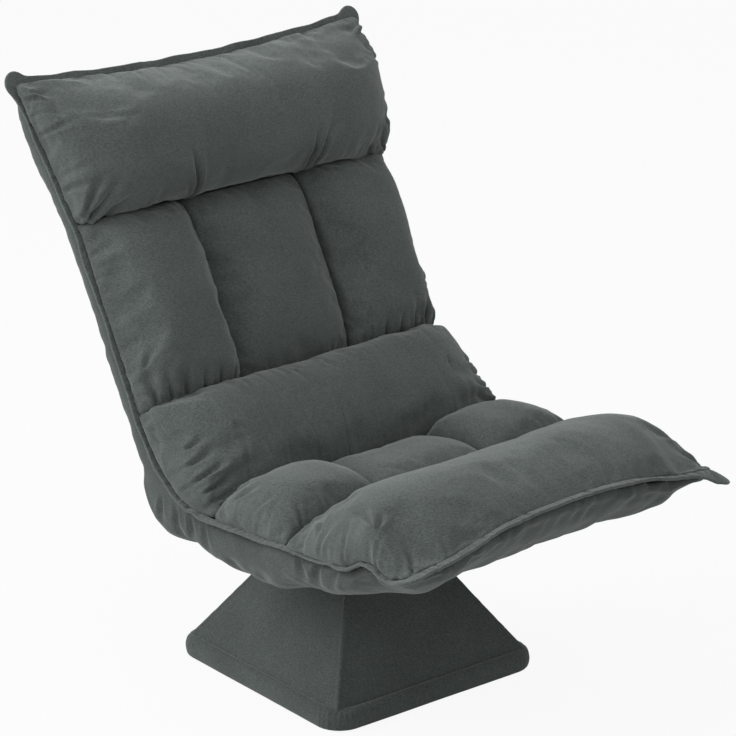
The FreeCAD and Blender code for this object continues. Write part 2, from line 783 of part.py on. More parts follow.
for side, sign in SIDES:
    low, high = span(sign, "hinge_seat_x", pin_end)
    plate = newBody("ratchet_" + side)
    disc = newSketch(plate, "YZ_Plane", low)
    circle(disc, "ratchet_radius")
    pad(plate, disc, "hinge_plate")
    tail = newSketch(plate, "YZ_Plane", low)
    tail_low, tail_high = "%s - tube_radius" % seat_level, "%s + tube_radius" % seat_level
    outline(tail, [("0", "0"), ("0 - hinge_tail_near", tail_low), ("0 - hinge_tail_length", tail_low),
                   ("0 - hinge_tail_length", tail_high),
                   ("0 - ratchet_radius", tail_high + " + hinge_tail_rise"), ("0 - hinge_tail_top", "0")])
    pad(plate, tail, "hinge_plate")
    bore = newSketch(plate, "YZ_Plane", low)
    circle(bore, "hinge_pin_radius + hinge_pin_clearance")
    pocket(plate, bore)
    notch = newSketch(plate, "YZ_Plane", low)
    root, rim = "(ratchet_radius - ratchet_tooth_depth)", "(ratchet_radius + ratchet_tooth_depth / 4)"
    half_notch = "(%s) / 4" % tooth_angle
    outline(notch, [("%s * sin(%s)" % (root, half_notch), "%s * cos(%s)" % (root, half_notch)),
                    ("%s * sin(2 * %s)" % (rim, half_notch), "%s * cos(2 * %s)" % (rim, half_notch)),
                    ("0 - %s * sin(%s)" % (rim, half_notch), "%s * cos(%s)" % (rim, half_notch))])
    pocket(plate, notch)
    teeth = plate.newObject("PartDesign::PolarPattern", "teeth_" + side)
    teeth.Originals = [plate.Tip]
    teeth.Axis = (disc, ["N_Axis"])
    teeth.setExpression("Angle", bound("ratchet_tooth_span"))
    teeth.setExpression("Occurrences", bound("ratchet_tooth_count"))
    teeth.Reversed = True
    plate.Tip = teeth
    node(onSeat(plate), "ratchet_plate_" + side)

    pin = newBody("hinge_pin_" + side)
    stretches = ((pin_start, pin_start + " + hinge_pin_head_height", "hinge_pin_head_radius"),
                 (pin_start + " + hinge_pin_head_height", pin_end, "hinge_pin_radius"),
                 (pin_end, pin_end + " + hinge_pin_head_height / 2", "hinge_pin_head_radius"))
    for start, end, radius in stretches:
        low, high = span(sign, start, end)
        step = newSketch(pin, "YZ_Plane", low)
        circle(step, radius)
        pad(pin, step, "(%s) - (%s)" % (high, low))
    node(onSeat(pin), "hinge_pin_" + side)

    low, high = span(sign, arm_x, arm_x + " + hinge_plate")
    arm = newBody("arm_" + side)
    eye = newSketch(arm, "YZ_Plane", low)
    circle(eye, "arm_eye_radius")
    pad(arm, eye, "hinge_plate")
    strap = newSketch(arm, "YZ_Plane", low)
    middle = "(0 - %s)" % back_level
    outline(strap, [("0 - arm_neck", "0"), ("arm_neck", "0 - arm_neck_drop"),
                    (middle + " + arm_half_width", "arm_bend"), (middle + " + arm_half_width", "arm_length"),
                    (middle + " - arm_half_width", "arm_length"),
                    ("0 - pawl_half_width", "ratchet_radius + pawl_length")])
    pad(arm, strap, "hinge_plate")
    bore = newSketch(arm, "YZ_Plane", low)
    circle(bore, "hinge_pin_radius + hinge_pin_clearance")
    pocket(arm, bore)
    node(onBack(arm), "hinge_arm_" + side)

    low, high = span(sign, "hinge_seat_x", pin_end)
    pawl = newBody("pawl_" + side)
    blade = newSketch(pawl, "YZ_Plane", low)
    tip = "ratchet_tooth_depth / 2"
    outline(blade, [("0 - " + tip, pawl_low), (tip, pawl_low), ("pawl_half_width", pawl_low + " + pawl_length / 2"),
                    ("pawl_half_width", pawl_low + " + pawl_length"),
                    ("0 - pawl_half_width", pawl_low + " + pawl_length"),
                    ("0 - pawl_half_width", pawl_low + " + pawl_length / 2")])
    pad(pawl, blade, "hinge_plate")
    node(onBack(pawl), "pawl_" + side)
    low, high = span(sign, "hinge_seat_x - hinge_gap", "hinge_seat_x")
    boss = newSketch(pawl, "YZ_Plane", low)
    circle(boss, "pawl_pin_radius", "0", pawl_low + " + pawl_pin_height")
    pad(pawl, boss, "hinge_gap")

# Soft pieces: places along a piece and heights off its hinge plane, drawn in the plane across the chair


def seatMap(along, height):
    return "0 - (%s)" % along, height


def backMap(along, height):
    return "0 - (%s)" % height, along


def softLoft(name, sections):
    """A body lofted through outlines at places across the chair: (x, points, bulges)."""
    body = newBody(name)
    sketches = []
    for x, points, bulges in sections:
        sketch = newSketch(body, "YZ_Plane", x)
        outline(sketch, points, bulges)
        sketches.append(sketch)
    loft(body, sketches)
    return body


def cushion(name, mapping, level, start, end, inner, outer, wall, crown, profile, outwards):
    """A crowned cushion with a flat base; its ends pull in where it rises."""
    sections = []
    for place_share, rise in profile:
        x = "(%s) + %g * ((%s) - (%s))" % (inner, place_share, outer, inner)
        low, high = "(%s) + %g * draw_in" % (start, rise), "(%s) - %g * draw_in" % (end, rise)
        top = "(%s) + %g * (%s)" % (level, rise, wall)
        points = [mapping(low, level), mapping(high, level), mapping(high, top), mapping(low, top)]
        sections.append((x, points, {2: "%d * %g * (%s)" % (outwards, rise, crown)}))
    return softLoft(name, sections)


seat_base = "(0 - seat_plane)"
back_base = "(0 - back_plane)"

# Channels of the seat and of the back
for side, sign in SIDES:
    inner, outer = "%d * (channel_half + seam_gap)" % sign, "%d * seat_half_width" % sign
    seat_pad = cushion("seat_pillow_%s_body" % side, seatMap, seat_base, "seat_channel_start + seam_gap",
                       "roll_start - seam_gap", inner, outer, "seat_side_wall", "seat_side_crown", SIDE_PROFILE, -1)
    node(onSeat(seat_pad), "seat_pillow_" + side)
    outer = "%d * back_half_width" % sign
    back_pad = cushion("back_pillow_%s_body" % side, backMap, back_base, "back_channel_start + seam_gap",
                       "head_start - seam_gap", inner, outer, "back_side_wall", "back_side_crown", SIDE_PROFILE, 1)
    node(onBack(back_pad), "back_pillow_" + side)
middle_half = "(channel_half - seam_gap)"
seat_middle = cushion("seat_middle_body", seatMap, seat_base, "seat_channel_start + seam_gap", "roll_start - seam_gap",
                      "0", middle_half, "seat_middle_wall", "seat_middle_crown", MIDDLE_PROFILE, -1)
node(onSeat(seat_middle), "seat_pillow_middle")
back_middle = cushion("back_middle_body", backMap, back_base, "back_channel_start + seam_gap", "head_start - seam_gap",
                      "0", middle_half, "back_middle_wall", "back_middle_crown", MIDDLE_PROFILE, 1)
node(onBack(back_middle), "back_pillow_middle")

# Front roll of the seat
roll_sections = []
for share, rise in ROLL_PROFILE:
    crest = "%s + %g * roll_crest_height" % (seat_base, rise)
    points = [seatMap("roll_start", seat_base), seatMap("seat_front_bend", seat_base),
              seatMap("seat_front", seat_base + " + seat_front_lift"), seatMap("roll_crest", crest),
              seatMap("roll_start", "%s + %g * roll_wall" % (seat_base, rise))]
    bulges = {2: "0 - %g * roll_front_bulge" % rise, 3: "0 - %g * roll_back_bulge" % rise}
    roll_sections.append(("%g * (seat_half_width + seam_gap)" % share, points, bulges))
node(onSeat(softLoft("front_roll_body", roll_sections)), "front_roll")

# Head roll of the back; its upper edge dips in the middle
head_sections = []
head_rise = "(back_top - head_start)"
for share, rise, lift in HEAD_PROFILE:
    low = "(head_start + %g * %s)" % (lift, head_rise)
    crest = "(%s + %g * (head_crest - head_start))" % (low, 1 - lift)
    top = "(back_top - seam_gap - %g * back_top_dip)" % (1 - share ** 2)
    points = [backMap(low, back_base), backMap(top, back_base),
              backMap(crest, "%s + %g * head_crest_depth" % (back_base, rise)),
              backMap(low, "%s + %g * head_wall" % (back_base, rise))]
    bulges = {1: "%g * head_upper_bulge" % rise, 2: "%g * head_lower_bulge" % rise}
    head_sections.append(("%g * (back_head_half_width - head_corner)" % share, points, bulges))
node(onBack(softLoft("head_roll_body", head_sections)), "head_roll")


def dipTop(body):
    """Draws the upper edge of a back piece in between its corners."""
    sketch = newSketch(body, "XZ_Plane")
    over = "(back_top + 2 * flange_width)"
    outline(sketch, [("0 - back_head_half_width", "back_top"), ("back_head_half_width", "back_top"),
                     ("back_head_half_width", over), ("0 - back_head_half_width", over)], {0: "back_top_dip"})
    pocket(body, sketch)


# Shells: the padded underside of the seat and the padded rear of the back


def shell(name, role, flip, start, end, level, depth, half, wide_half, profile):
    """A pan lofted along the piece, taller than it ends up, so that its open side can be cut to shape."""
    body = newBody(name)
    sketches = []
    for share, deep, wider in profile:
        sketch = newSketch(body, role, "(%s) + %g * ((%s) - (%s))" % (start, share, end, start))
        hw = "((%s) + %g * ((%s) - (%s)))" % (half, wider, wide_half, half)
        hb = "(%s - shell_side_inset)" % hw
        over = "%d * (%s + seat_front_lift + shell_spare)" % (flip, level)
        plane = "%d * %s" % (flip, level)
        floor = "%d * (%s - %g * (%s))" % (flip, level, deep, depth)
        points = [("0 - " + hb, floor), (hb, floor), (hw, plane), (hw, over), ("0 - " + hw, over), ("0 - " + hw, plane)]
        round_out = "%d * shell_side_round" % flip
        outline(sketch, points, {1: round_out, 5: round_out})
        sketches.append(sketch)
    loft(body, sketches)
    return body


def trimAbove(body, mapping, points, high):
    """Cuts away what lies above a line in side view."""
    sketch = newSketch(body, "YZ_Plane")
    (first, _), (last, _) = points[0], points[-1]
    outline(sketch, [mapping(a, h) for a, h in points + [(last, high), (first, high)]])
    pocket(body, sketch)


seat_shell = shell("seat_shell_body", "XZ_Plane", 1, "seat_shell_start", "seat_front", seat_base, "seat_shell_depth",
                   "seat_half_width", "seat_front_half_width", SEAT_SHELL_PROFILE)
front_slope = "seat_front_lift / (seat_front - seat_front_bend)"
past_front = "(seat_front + shell_spare)"
trimAbove(seat_shell, seatMap,
          [("0", seat_base + " + seat_shell_start_height"),
           ("seat_shell_start", seat_base + " + seat_shell_start_height"), ("seat_shell_bend", seat_base),
           ("seat_front_bend", seat_base),
           (past_front, "%s + %s * (%s - seat_front_bend)" % (seat_base, front_slope, past_front))],
          "seat_front_lift + 2 * shell_spare")
back_shell = shell("back_shell_body", "XY_Plane", -1, "back_shell_start", "back_top", back_base, "back_shell_depth",
                   "back_half_width", "back_head_half_width", BACK_SHELL_PROFILE)
trimAbove(back_shell, backMap,
          [("0", back_base + " + back_shell_start_depth"),
           ("back_shell_start", back_base + " + back_shell_start_depth"), ("back_shell_bend", back_base),
           ("back_top + shell_spare", back_base)],
          "seat_front_lift + 2 * shell_spare")
dipTop(back_shell)


# Pieces in the bend of the hinge, drawn in the row frame between points of the seat and of the back


def seatPoint(along, height):
    return ("pivot_y - (%s) * cos(seat_tilt) + (%s) * sin(seat_tilt)" % (along, height),
            "pivot_z + (%s) * sin(seat_tilt) + (%s) * cos(seat_tilt)" % (along, height))


def backPoint(along, height):
    return ("pivot_y + (%s) * sin(back_lean) - (%s) * cos(back_lean)" % (along, height),
            "pivot_z + (%s) * cos(back_lean) + (%s) * sin(back_lean)" % (along, height))


seat_lip = seat_base + " + seat_shell_start_height"
back_lip = back_base + " + back_shell_start_depth"
lumbar_sections = []
for share, rise in ROLL_PROFILE:
    points = [seatPoint("seat_channel_start", seat_base), seatPoint("seat_shell_bend", seat_base),
              seatPoint("seat_shell_start", seat_lip),
              backPoint("back_shell_start", back_lip + " + soft_gap"),
              backPoint("back_shell_bend", back_base + " + soft_gap"),
              backPoint("back_channel_start", back_base + " + soft_gap"),
              backPoint("back_channel_start", back_base + " + soft_gap + %g * lumbar_back_wall" % rise),
              seatPoint("seat_channel_start", seat_base + " + %g * lumbar_seat_wall" % rise)]
    lumbar_sections.append(("%g * back_half_width" % share, points, {6: "%g * lumbar_crown" % rise}))
lumbar_roll = place(softLoft("lumbar_roll_body", lumbar_sections))

gusset_sections = []
for share, deep in GUSSET_PROFILE:
    seat_end, back_end = "(seat_shell_start - soft_gap)", "(back_shell_start - soft_gap)"
    points = [seatPoint(seat_end, seat_lip + " - 2 * soft_gap"),
              seatPoint(seat_end, "%s - %g * seat_shell_depth" % (seat_base, deep * SEAT_SHELL_PROFILE[0][1])),
              backPoint(back_end, "%s - %g * back_shell_depth" % (back_base, deep * BACK_SHELL_PROFILE[0][1])),
              backPoint(back_end, back_lip + " - 2 * soft_gap")]
    gusset_sections.append(("%g * (back_half_width - seam_gap)" % share, points, {1: "gusset_bulge"}))
hinge_gusset = place(softLoft("hinge_gusset_body", gusset_sections))

# Room in the padding for the steel parts
hinge_room = [seat_tunnel, back_tunnel]
seat_room = [seat_tunnel]
back_room = [back_tunnel]
for side, sign in SIDES:
    inner, outer = pin_start + " - hinge_gap", pin_end + " + hinge_pin_head_height"
    low, high = span(sign, inner, outer)
    disc_room = rod("disc_room_" + side, "ratchet_radius + soft_gap", "(%s) - (%s)" % (high, low),
                    low, "pivot_y", "pivot_z", X_AXIS)
    low, high = span(sign, "hinge_seat_x - soft_gap", pin_end + " + soft_gap")
    tail_room = box("tail_room_" + side,
                    (low, "0 - hinge_tail_length - soft_gap", "%s - tube_radius - soft_gap" % seat_level),
                    (high, "0", "0"), seatBox)
    pawl_room = box("pawl_room_" + side, (low, "0 - pawl_half_width - soft_gap", "0"),
                    (high, "pawl_half_width + soft_gap", pawl_low + " + pawl_length + soft_gap"), backBox)
    low, high = span(sign, arm_x + " - soft_gap", "hinge_seat_x")
    arm_room = box("arm_room_" + side, (low, "0 - arm_eye_radius", "0"),
                   (high, "0 - %s + arm_half_width + soft_gap" % back_level, "arm_length + soft_gap"), backBox)
    hinge_room += [disc_room, tail_room, pawl_room, arm_room]
    seat_room += [disc_room, tail_room]
    back_room += [disc_room, pawl_room, arm_room]

seat_room.append(wideBox("bar_room", tube_x + " + tube_radius + soft_gap",
                         "(pivot_y - cross_bar_spacing / 2 - cross_bar_width / 2 - soft_gap)",
                         "(pivot_y + cross_bar_spacing / 2 + cross_bar_width / 2 + soft_gap)",
                         bar_low + " - soft_gap", seat_level, seatBox))
seat_room.append(box("pedestal_room",
                     ("0 - %s - soft_gap" % half_pedestal, "0 - %s - soft_gap" % half_pedestal, "post_top"),
                     (half_pedestal + " + soft_gap", half_pedestal + " + soft_gap", "pivot_z + " + seat_level)))
seat_room.append(wideBox("seat_strap_room", tube_x, "(seat_strap_start - soft_gap)",
                         "(seat_strap_start + (seat_strap_count - 1) * strap_pitch + strap_width + soft_gap)",
                         seat_strap_low + " - soft_gap", seat_base + " + seam_gap", seatBox))
back_room.append(wideBox("back_strap_room", back_tube_x, back_strap_front + " - strap_thickness - soft_gap",
                         back_base + " + seam_gap", "(back_strap_start - soft_gap)",
                         "(back_strap_start + (back_strap_count - 1) * strap_pitch + strap_width + soft_gap)", backBox))
back_room.append(crossRod("cross_room", "back_cross_radius + soft_gap", back_tube_x))

node(cut("seat_shell_cut", onSeat(seat_shell), seat_room), "seat_shell")
node(cut("back_shell_cut", onBack(back_shell), back_room), "back_shell")
node(cut("lumbar_cut", lumbar_roll, hinge_room), "lumbar_roll")
node(cut("gusset_cut", hinge_gusset, hinge_room), "hinge_gusset")

# Flanges: the flat welt round the seat and round the back, where cover and shell are sewn together

welt = "flange_thickness / 2"
side_view = newBody("seat_flange_side")
side_sketch = newSketch(side_view, "YZ_Plane", "0 - seat_front_half_width - 2 * flange_width")
flange_end = "(seat_front + flange_width)"
end_lift = "%s * (%s - seat_front_bend)" % (front_slope, flange_end)
outline(side_sketch, [seatMap("seat_channel_start", "%s - %s" % (seat_base, welt)),
                      seatMap("seat_channel_start", "%s + %s" % (seat_base, welt)),
                      seatMap("seat_front_bend", "%s + %s" % (seat_base, welt)),
                      seatMap(flange_end, "%s + %s + %s" % (seat_base, welt, end_lift)),
                      seatMap(flange_end, "%s - %s + %s" % (seat_base, welt, end_lift)),
                      seatMap("seat_front_bend", "%s - %s" % (seat_base, welt))])
pad(side_view, side_sketch, "2 * (seat_front_half_width + 2 * flange_width)")
plan_view = newBody("seat_flange_plan")
plan_sketch = newSketch(plan_view, "XY_Plane", "0 - flange_cutter_reach")
inner_side, outer_side = "(seat_half_width + flange_gap)", "(seat_half_width + flange_width)"
inner_front, outer_front = "(seat_front_half_width + soft_gap)", "(seat_front_half_width + flange_width)"
flange_start, inner_end = "0 - seat_channel_start", "0 - seat_front - soft_gap"
outline(plan_sketch, [(outer_side, flange_start), (inner_side, flange_start), (inner_front, inner_end),
                      ("0 - " + inner_front, inner_end), ("0 - " + inner_side, flange_start),
                      ("0 - " + outer_side, flange_start), ("0 - " + outer_front, "0 - " + flange_end),
                      (outer_front, "0 - " + flange_end)])
pad(plan_view, plan_sketch, "2 * flange_cutter_reach")
seat_flange = doc.addObject("Part::MultiCommon", "seat_flange_common")
seat_flange.Shapes = [onSeat(side_view), onSeat(plan_view)]
node(seat_flange, "seat_flange")

back_flange = newBody("back_flange_body")
flange_sketch = newSketch(back_flange, "XZ_Plane", "%s - %s" % (back_base, welt))
right_in = [("(back_half_width + flange_gap)", "back_channel_start"),
            ("(back_neck_half_width + soft_gap)", "head_start"),
            ("(back_head_half_width + soft_gap)", "back_top + soft_gap")]
right_out = [("(back_half_width + flange_width)", "back_channel_start"),
             ("(back_neck_half_width + flange_width)", "head_start"),
             ("(back_head_half_width + flange_width)", "back_top + flange_width")]
mirrored = [[("0 - " + x, z) for x, z in line] for line in (right_in, right_out)]
outline(flange_sketch, right_in + mirrored[0][::-1] + mirrored[1] + right_out[::-1],
        {2: "0 - back_top_dip", 8: "back_top_dip"})
pad(back_flange, flange_sketch, "flange_thickness")
node(onBack(back_flange), "back_flange")

doc.recompute()
failed = [thing.Name for thing in doc.Objects if "Invalid" in thing.State or "Error" in thing.State]
if failed:
    raise ValueError("objects that did not build: " + ", ".join(failed))
for thing in NODES:
    if thing.Shape.isNull() or not thing.Shape.isValid():
        raise ValueError("no sound solid in " + thing.Label)
os.makedirs("parts", exist_ok=True)
for thing in NODES:
    thing.Shape.exportStep("parts/%s.step" % thing.Label)
    extent = thing.Shape.optimalBoundingBox()
    print("%s: %d solid(s), %.1f cm3, z %.1f to %.1f"
          % (thing.Label, len(thing.Shape.Solids), thing.Shape.Volume / 1000, extent.ZMin, extent.ZMax))
print(len(NODES), "sub-parts")
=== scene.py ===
import json
from math import cos, pi, radians, sin

import bmesh
import bpy
import numpy as np
from mathutils import Matrix, Vector, noise


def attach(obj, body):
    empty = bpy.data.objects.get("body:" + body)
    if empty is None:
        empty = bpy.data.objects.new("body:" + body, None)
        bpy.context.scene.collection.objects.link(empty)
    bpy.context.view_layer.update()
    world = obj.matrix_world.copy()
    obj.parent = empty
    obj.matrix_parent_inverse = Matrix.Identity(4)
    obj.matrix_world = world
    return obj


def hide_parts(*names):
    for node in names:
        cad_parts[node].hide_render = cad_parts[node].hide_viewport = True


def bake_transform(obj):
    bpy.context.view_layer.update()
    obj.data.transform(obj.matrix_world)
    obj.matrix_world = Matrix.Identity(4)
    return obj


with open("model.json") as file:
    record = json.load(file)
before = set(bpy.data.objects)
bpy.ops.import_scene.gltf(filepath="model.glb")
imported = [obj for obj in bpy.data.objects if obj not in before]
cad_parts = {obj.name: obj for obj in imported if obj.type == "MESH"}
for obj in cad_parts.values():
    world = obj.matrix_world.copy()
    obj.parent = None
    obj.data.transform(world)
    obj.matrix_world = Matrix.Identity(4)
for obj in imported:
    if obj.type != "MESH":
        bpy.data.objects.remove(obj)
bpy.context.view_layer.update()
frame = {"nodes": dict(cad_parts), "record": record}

# A folding floor chair: padded seat and back in one cloth cover, on a swivel over a padded base.
# Metres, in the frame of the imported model: origin under the middle of the base, the chair faces -Y.

scene = bpy.context.scene

# Places on the chair

chair = {
    "pivotY": 0.08,
    "pivotZ": 0.3,
    "seatTilt": radians(3.5),
    "backLean": radians(26),
    "baseTurn": radians(-3.8),
    "seatPlane": -0.0306,    # height of the seat's seam off the hinge axis
    "backPlane": -0.014,     # depth of the back's seam in front of the hinge axis
    "frontStart": 0.4,     # from here the front of the seat rises
    "frontEnd": 0.47,
    "frontLift": 0.0356,
}


def seatPlace(x, s, t):    # s runs forwards along the seat, t stands off it
    c, k = cos(chair["seatTilt"]), sin(chair["seatTilt"])
    return np.stack([x, chair["pivotY"] - s * c + t * k, chair["pivotZ"] + s * k + t * c], axis=-1)


def backPlace(x, u, w):    # u runs up along the back, w stands out of its front
    c, k = cos(chair["backLean"]), sin(chair["backLean"])
    return np.stack([x, chair["pivotY"] + u * k - w * c, chair["pivotZ"] + u * c + w * k], axis=-1)


def seatShares(points):
    c, k = cos(chair["seatTilt"]), sin(chair["seatTilt"])
    y, z = points[:, 1] - chair["pivotY"], points[:, 2] - chair["pivotZ"]
    return points[:, 0], z * k - y * c, y * k + z * c


def backShares(points):
    c, k = cos(chair["backLean"]), sin(chair["backLean"])
    y, z = points[:, 1] - chair["pivotY"], points[:, 2] - chair["pivotZ"]
    return points[:, 0], y * k + z * c, z * k - y * c


def smoothStep(value, low, high):
    share = np.clip((value - low) / (high - low), 0, 1)
    return share * share * (3 - 2 * share)


def roundOver(distance, radius):    # rises like a quarter circle over that distance
    share = 1 - np.clip(distance / radius, 0, 1)
    return np.sqrt(1 - share * share)


# The line where cover and shell are sewn together: how wide, and how high, along each part
outlineShape = {
    "backAlong": [0.0, 0.09, 0.2, 0.352, 0.4, 0.546],
    "backHalf": [0.2585, 0.2585, 0.259, 0.264, 0.27, 0.291],
    "seatAlong": [0.0, 0.097, 0.25, 0.4, 0.47],
    "seatHalf": [0.2585, 0.262, 0.265, 0.269, 0.27],
    "top": 0.546,
    "topHalf": 0.291,
    "topDip": 0.014,
    "droopX": [0.0, 0.06, 0.11, 0.15, 0.2, 0.24, 0.275, 0.31],
    "droopZ": [0.01, 0.009, 0.005, -0.003, -0.013, -0.018, -0.021, -0.024],
    "peakX": -0.27,         # the pleat at the left front corner
    "peakAlong": 0.398,
    "peakRise": 0.026,
    "peakLong": 0.03,
    "peakWide": 0.035,
}


def backHalf(u):
    return np.interp(u, outlineShape["backAlong"], outlineShape["backHalf"])


def seatHalf(s):
    return np.interp(s, outlineShape["seatAlong"], outlineShape["seatHalf"])


def topEdge(x):
    share = np.clip(x / outlineShape["topHalf"], -1, 1)
    return outlineShape["top"] - outlineShape["topDip"] * (1 - share ** 2)


def seatSeam(s):    # height of the seam along the seat
    lift = np.clip((s - chair["frontStart"]) / (chair["frontEnd"] - chair["frontStart"]), 0, None)
    return chair["seatPlane"] + chair["frontLift"] * lift


def droop(points):    # the front edge sags towards its corners, and is bunched up near the left one
    x, s, t = seatShares(points)
    fall = np.interp(np.abs(x), outlineShape["droopX"], outlineShape["droopZ"])
    moved = fall * smoothStep(s, 0.33, chair["frontEnd"]) * (1 - 0.6 * smoothStep(t, 0.02, 0.06))
    offAlong = (s - outlineShape["peakAlong"]) / outlineShape["peakLong"]
    offAcross = (x - outlineShape["peakX"]) / outlineShape["peakWide"]
    near = np.exp(-offAlong ** 2 - offAcross ** 2)
    moved += outlineShape["peakRise"] * near * (1 - 0.5 * smoothStep(t, 0.0, 0.05))
    result = points.copy()
    result[:, 2] += moved
    return result


def lengths(line):    # how far each point lies along a line
    return np.concatenate([[0], np.cumsum(np.linalg.norm(np.diff(line, axis=0), axis=1))])


def evenLine(line, count=500):
    length = lengths(line)
    even = np.linspace(0, length[-1], count)
    return np.stack([np.interp(even, length, column) for column in line.T], axis=-1)


def sampled(points, count=400, closed=False):    # a smooth line through points, evenly spaced
    knots = np.array(points, float)
    if closed:
        knots = np.vstack([knots[-1], knots, knots[0], knots[1]])
    else:
        knots = np.vstack([2 * knots[0] - knots[1], knots, 2 * knots[-1] - knots[-2]])
    share = np.linspace(0, 1, 24, endpoint=False)[:, None]
    rows = []
    for a, b, c, d in zip(knots, knots[1:], knots[2:], knots[3:]):
        rows.append(0.5 * (2 * b + (c - a) * share + (2 * a - 5 * b + 4 * c - d) * share ** 2
                           + (3 * b - a - 3 * c + d) * share ** 3))
    return evenLine(np.vstack(rows + [knots[-2][None, :]]), count)


def along(line, share):    # points of a sampled line at shares of its length
    at = share * (len(line) - 1)
    return np.stack([np.interp(at, np.arange(len(line)), column) for column in line.T], axis=-1)


# Making and shaping meshes

def coordinates(mesh, what="co"):
    flat = np.empty(len(mesh.vertices) * 3, np.float32)
    mesh.vertices.foreach_get(what, flat)
    return flat.reshape(-1, 3).astype(float)


def normals(mesh):
    return coordinates(mesh, "normal")


def setCoordinates(mesh, points):
    mesh.vertices.foreach_set("co", np.ascontiguousarray(points, np.float32).ravel())
    mesh.update()


def newPiece(name, mesh):
    piece = bpy.data.objects.new(name, mesh)
    scene.collection.objects.link(piece)
    return piece


def surfacePiece(name, around, across, surface, fill=True):
    bm = bmesh.new()
    bmesh.ops.create_grid(bm, x_segments=around, y_segments=across, size=0.5)
    corners = list(bm.verts)
    share = np.array([v.co[:2] for v in corners]) + 0.5
    for vert, place in zip(corners, surface(share[:, 0], share[:, 1])):
        vert.co = place
    bmesh.ops.remove_doubles(bm, verts=bm.verts, dist=2e-5)
    if fill:
        bmesh.ops.holes_fill(bm, edges=[e for e in bm.edges if e.is_boundary], sides=0)
    bmesh.ops.recalc_face_normals(bm, faces=bm.faces)
    mesh = bpy.data.meshes.new(name)
    bm.to_mesh(mesh)
    bm.free()
    return newPiece(name, mesh)


def settled(piece):    # the piece's mesh with its modifiers applied
    graph = bpy.context.evaluated_depsgraph_get()
    mesh = bpy.data.meshes.new_from_object(piece.evaluated_get(graph))
    piece.modifiers.clear()
    old = piece.data
    piece.data = mesh
    bpy.data.meshes.remove(old)
    mesh.name = piece.name
    return piece


def remeshed(piece, voxel, smoothing=4):
    cells = piece.modifiers.new("cells", "REMESH")
    cells.mode = "VOXEL"
    cells.voxel_size = voxel
    settled(piece)
    relaxed = piece.modifiers.new("relaxed", "SMOOTH")
    relaxed.factor = 0.5
    relaxed.iterations = smoothing
    return settled(piece)


clothSteps = 16
clothStiffness = {
    "tension_stiffness": 12,
    "compression_stiffness": 12,
    "shear_stiffness": 6,
    "bending_stiffness": 0.6,
}


def inflated(piece, pinned, look):    # cloth filled by pressure, its move capped
    rest = coordinates(piece.data)
    pins = piece.vertex_groups.new(name="sewn")
    pins.add([int(i) for i in np.nonzero(pinned)[0]], 1.0, "REPLACE")
    cloth = piece.modifiers.new("filling", "CLOTH")
    settings = cloth.settings
    settings.quality = 4
    settings.mass = 0.25
    for name, value in clothStiffness.items():
        setattr(settings, name, value)
    settings.use_pressure = True
    settings.uniform_pressure_force = look["pressure"]
    settings.vertex_group_mass = "sewn"
    settings.shrink_min = -look["slack"]
    settings.effector_weights.gravity = 0
    cloth.collision_settings.use_collision = False
    cloth.collision_settings.use_self_collision = False
    for frameNumber in range(1, clothSteps + 1):
        scene.frame_set(frameNumber)
    settled(piece)
    scene.frame_set(1)
    moved = coordinates(piece.data) - rest
    far = np.linalg.norm(moved, axis=1, keepdims=True)
    cap = look["cap"]
    setCoordinates(piece.data, rest + moved * (cap * np.tanh(far / cap) / np.maximum(far, 1e-9)))
    piece.vertex_groups.clear()
    return piece


def refined(piece):
    finer = piece.modifiers.new("finer", "SUBSURF")
    finer.levels = 1
    settled(piece)
    piece.data.shade_smooth()
    return piece


def ripple(line, wavelength, seed):    # an uneven wave along a line, about -1 to 1
    base = 2 * pi * line / wavelength
    wave = (np.sin(base + seed) + 0.7 * np.sin(base * 1.618 + 2.3 * seed + 1)
            + 0.5 * np.sin(base * 0.53 + 4.1 * seed + 2))
    return wave / 1.7


def tucks(line, inward, look, seed):    # short uneven pleats that run in from a seam
    draw = np.random.default_rng(seed)
    start, end = line.min(), line.max()
    inward = np.maximum(inward, 0)
    amount = np.zeros(len(line))
    for number in range(int((end - start) / look["spacing"]) + 1):
        place = start + (number + draw.uniform(0.05, 0.95)) * look["spacing"]
        depth = look["depth"] * draw.uniform(0.1, 1) ** 1.4
        reach, slant = look["reach"] * draw.uniform(0.5, 1.4), draw.uniform(-0.5, 0.5)
        width = look["width"] * draw.uniform(0.7, 1.4)
        near = (np.abs(line - place) < 8 * look["width"] + look["reach"]) & (inward < 3 * look["reach"])
        q = (line[near] - place - slant * inward[near]) / (width * (1 + inward[near] / reach))
        ridges = 0.5 * np.exp(-(q - 1.7) ** 2) + 0.5 * np.exp(-(q + 1.7) ** 2)
        amount[near] += depth * np.exp(-(inward[near] / reach) ** 2) * (ridges - np.exp(-q * q))
    return amount


def softNoise(points, size, seed):
    shift = Vector((seed * 7.3, seed * 3.1, seed * 5.7))
    return np.array([noise.noise(Vector(p) / size + shift) for p in points])


def pushed(piece, amount):    # moves each point along its normal
    mesh = piece.data
    setCoordinates(mesh, coordinates(mesh) + normals(mesh) * amount[:, None])
    return piece


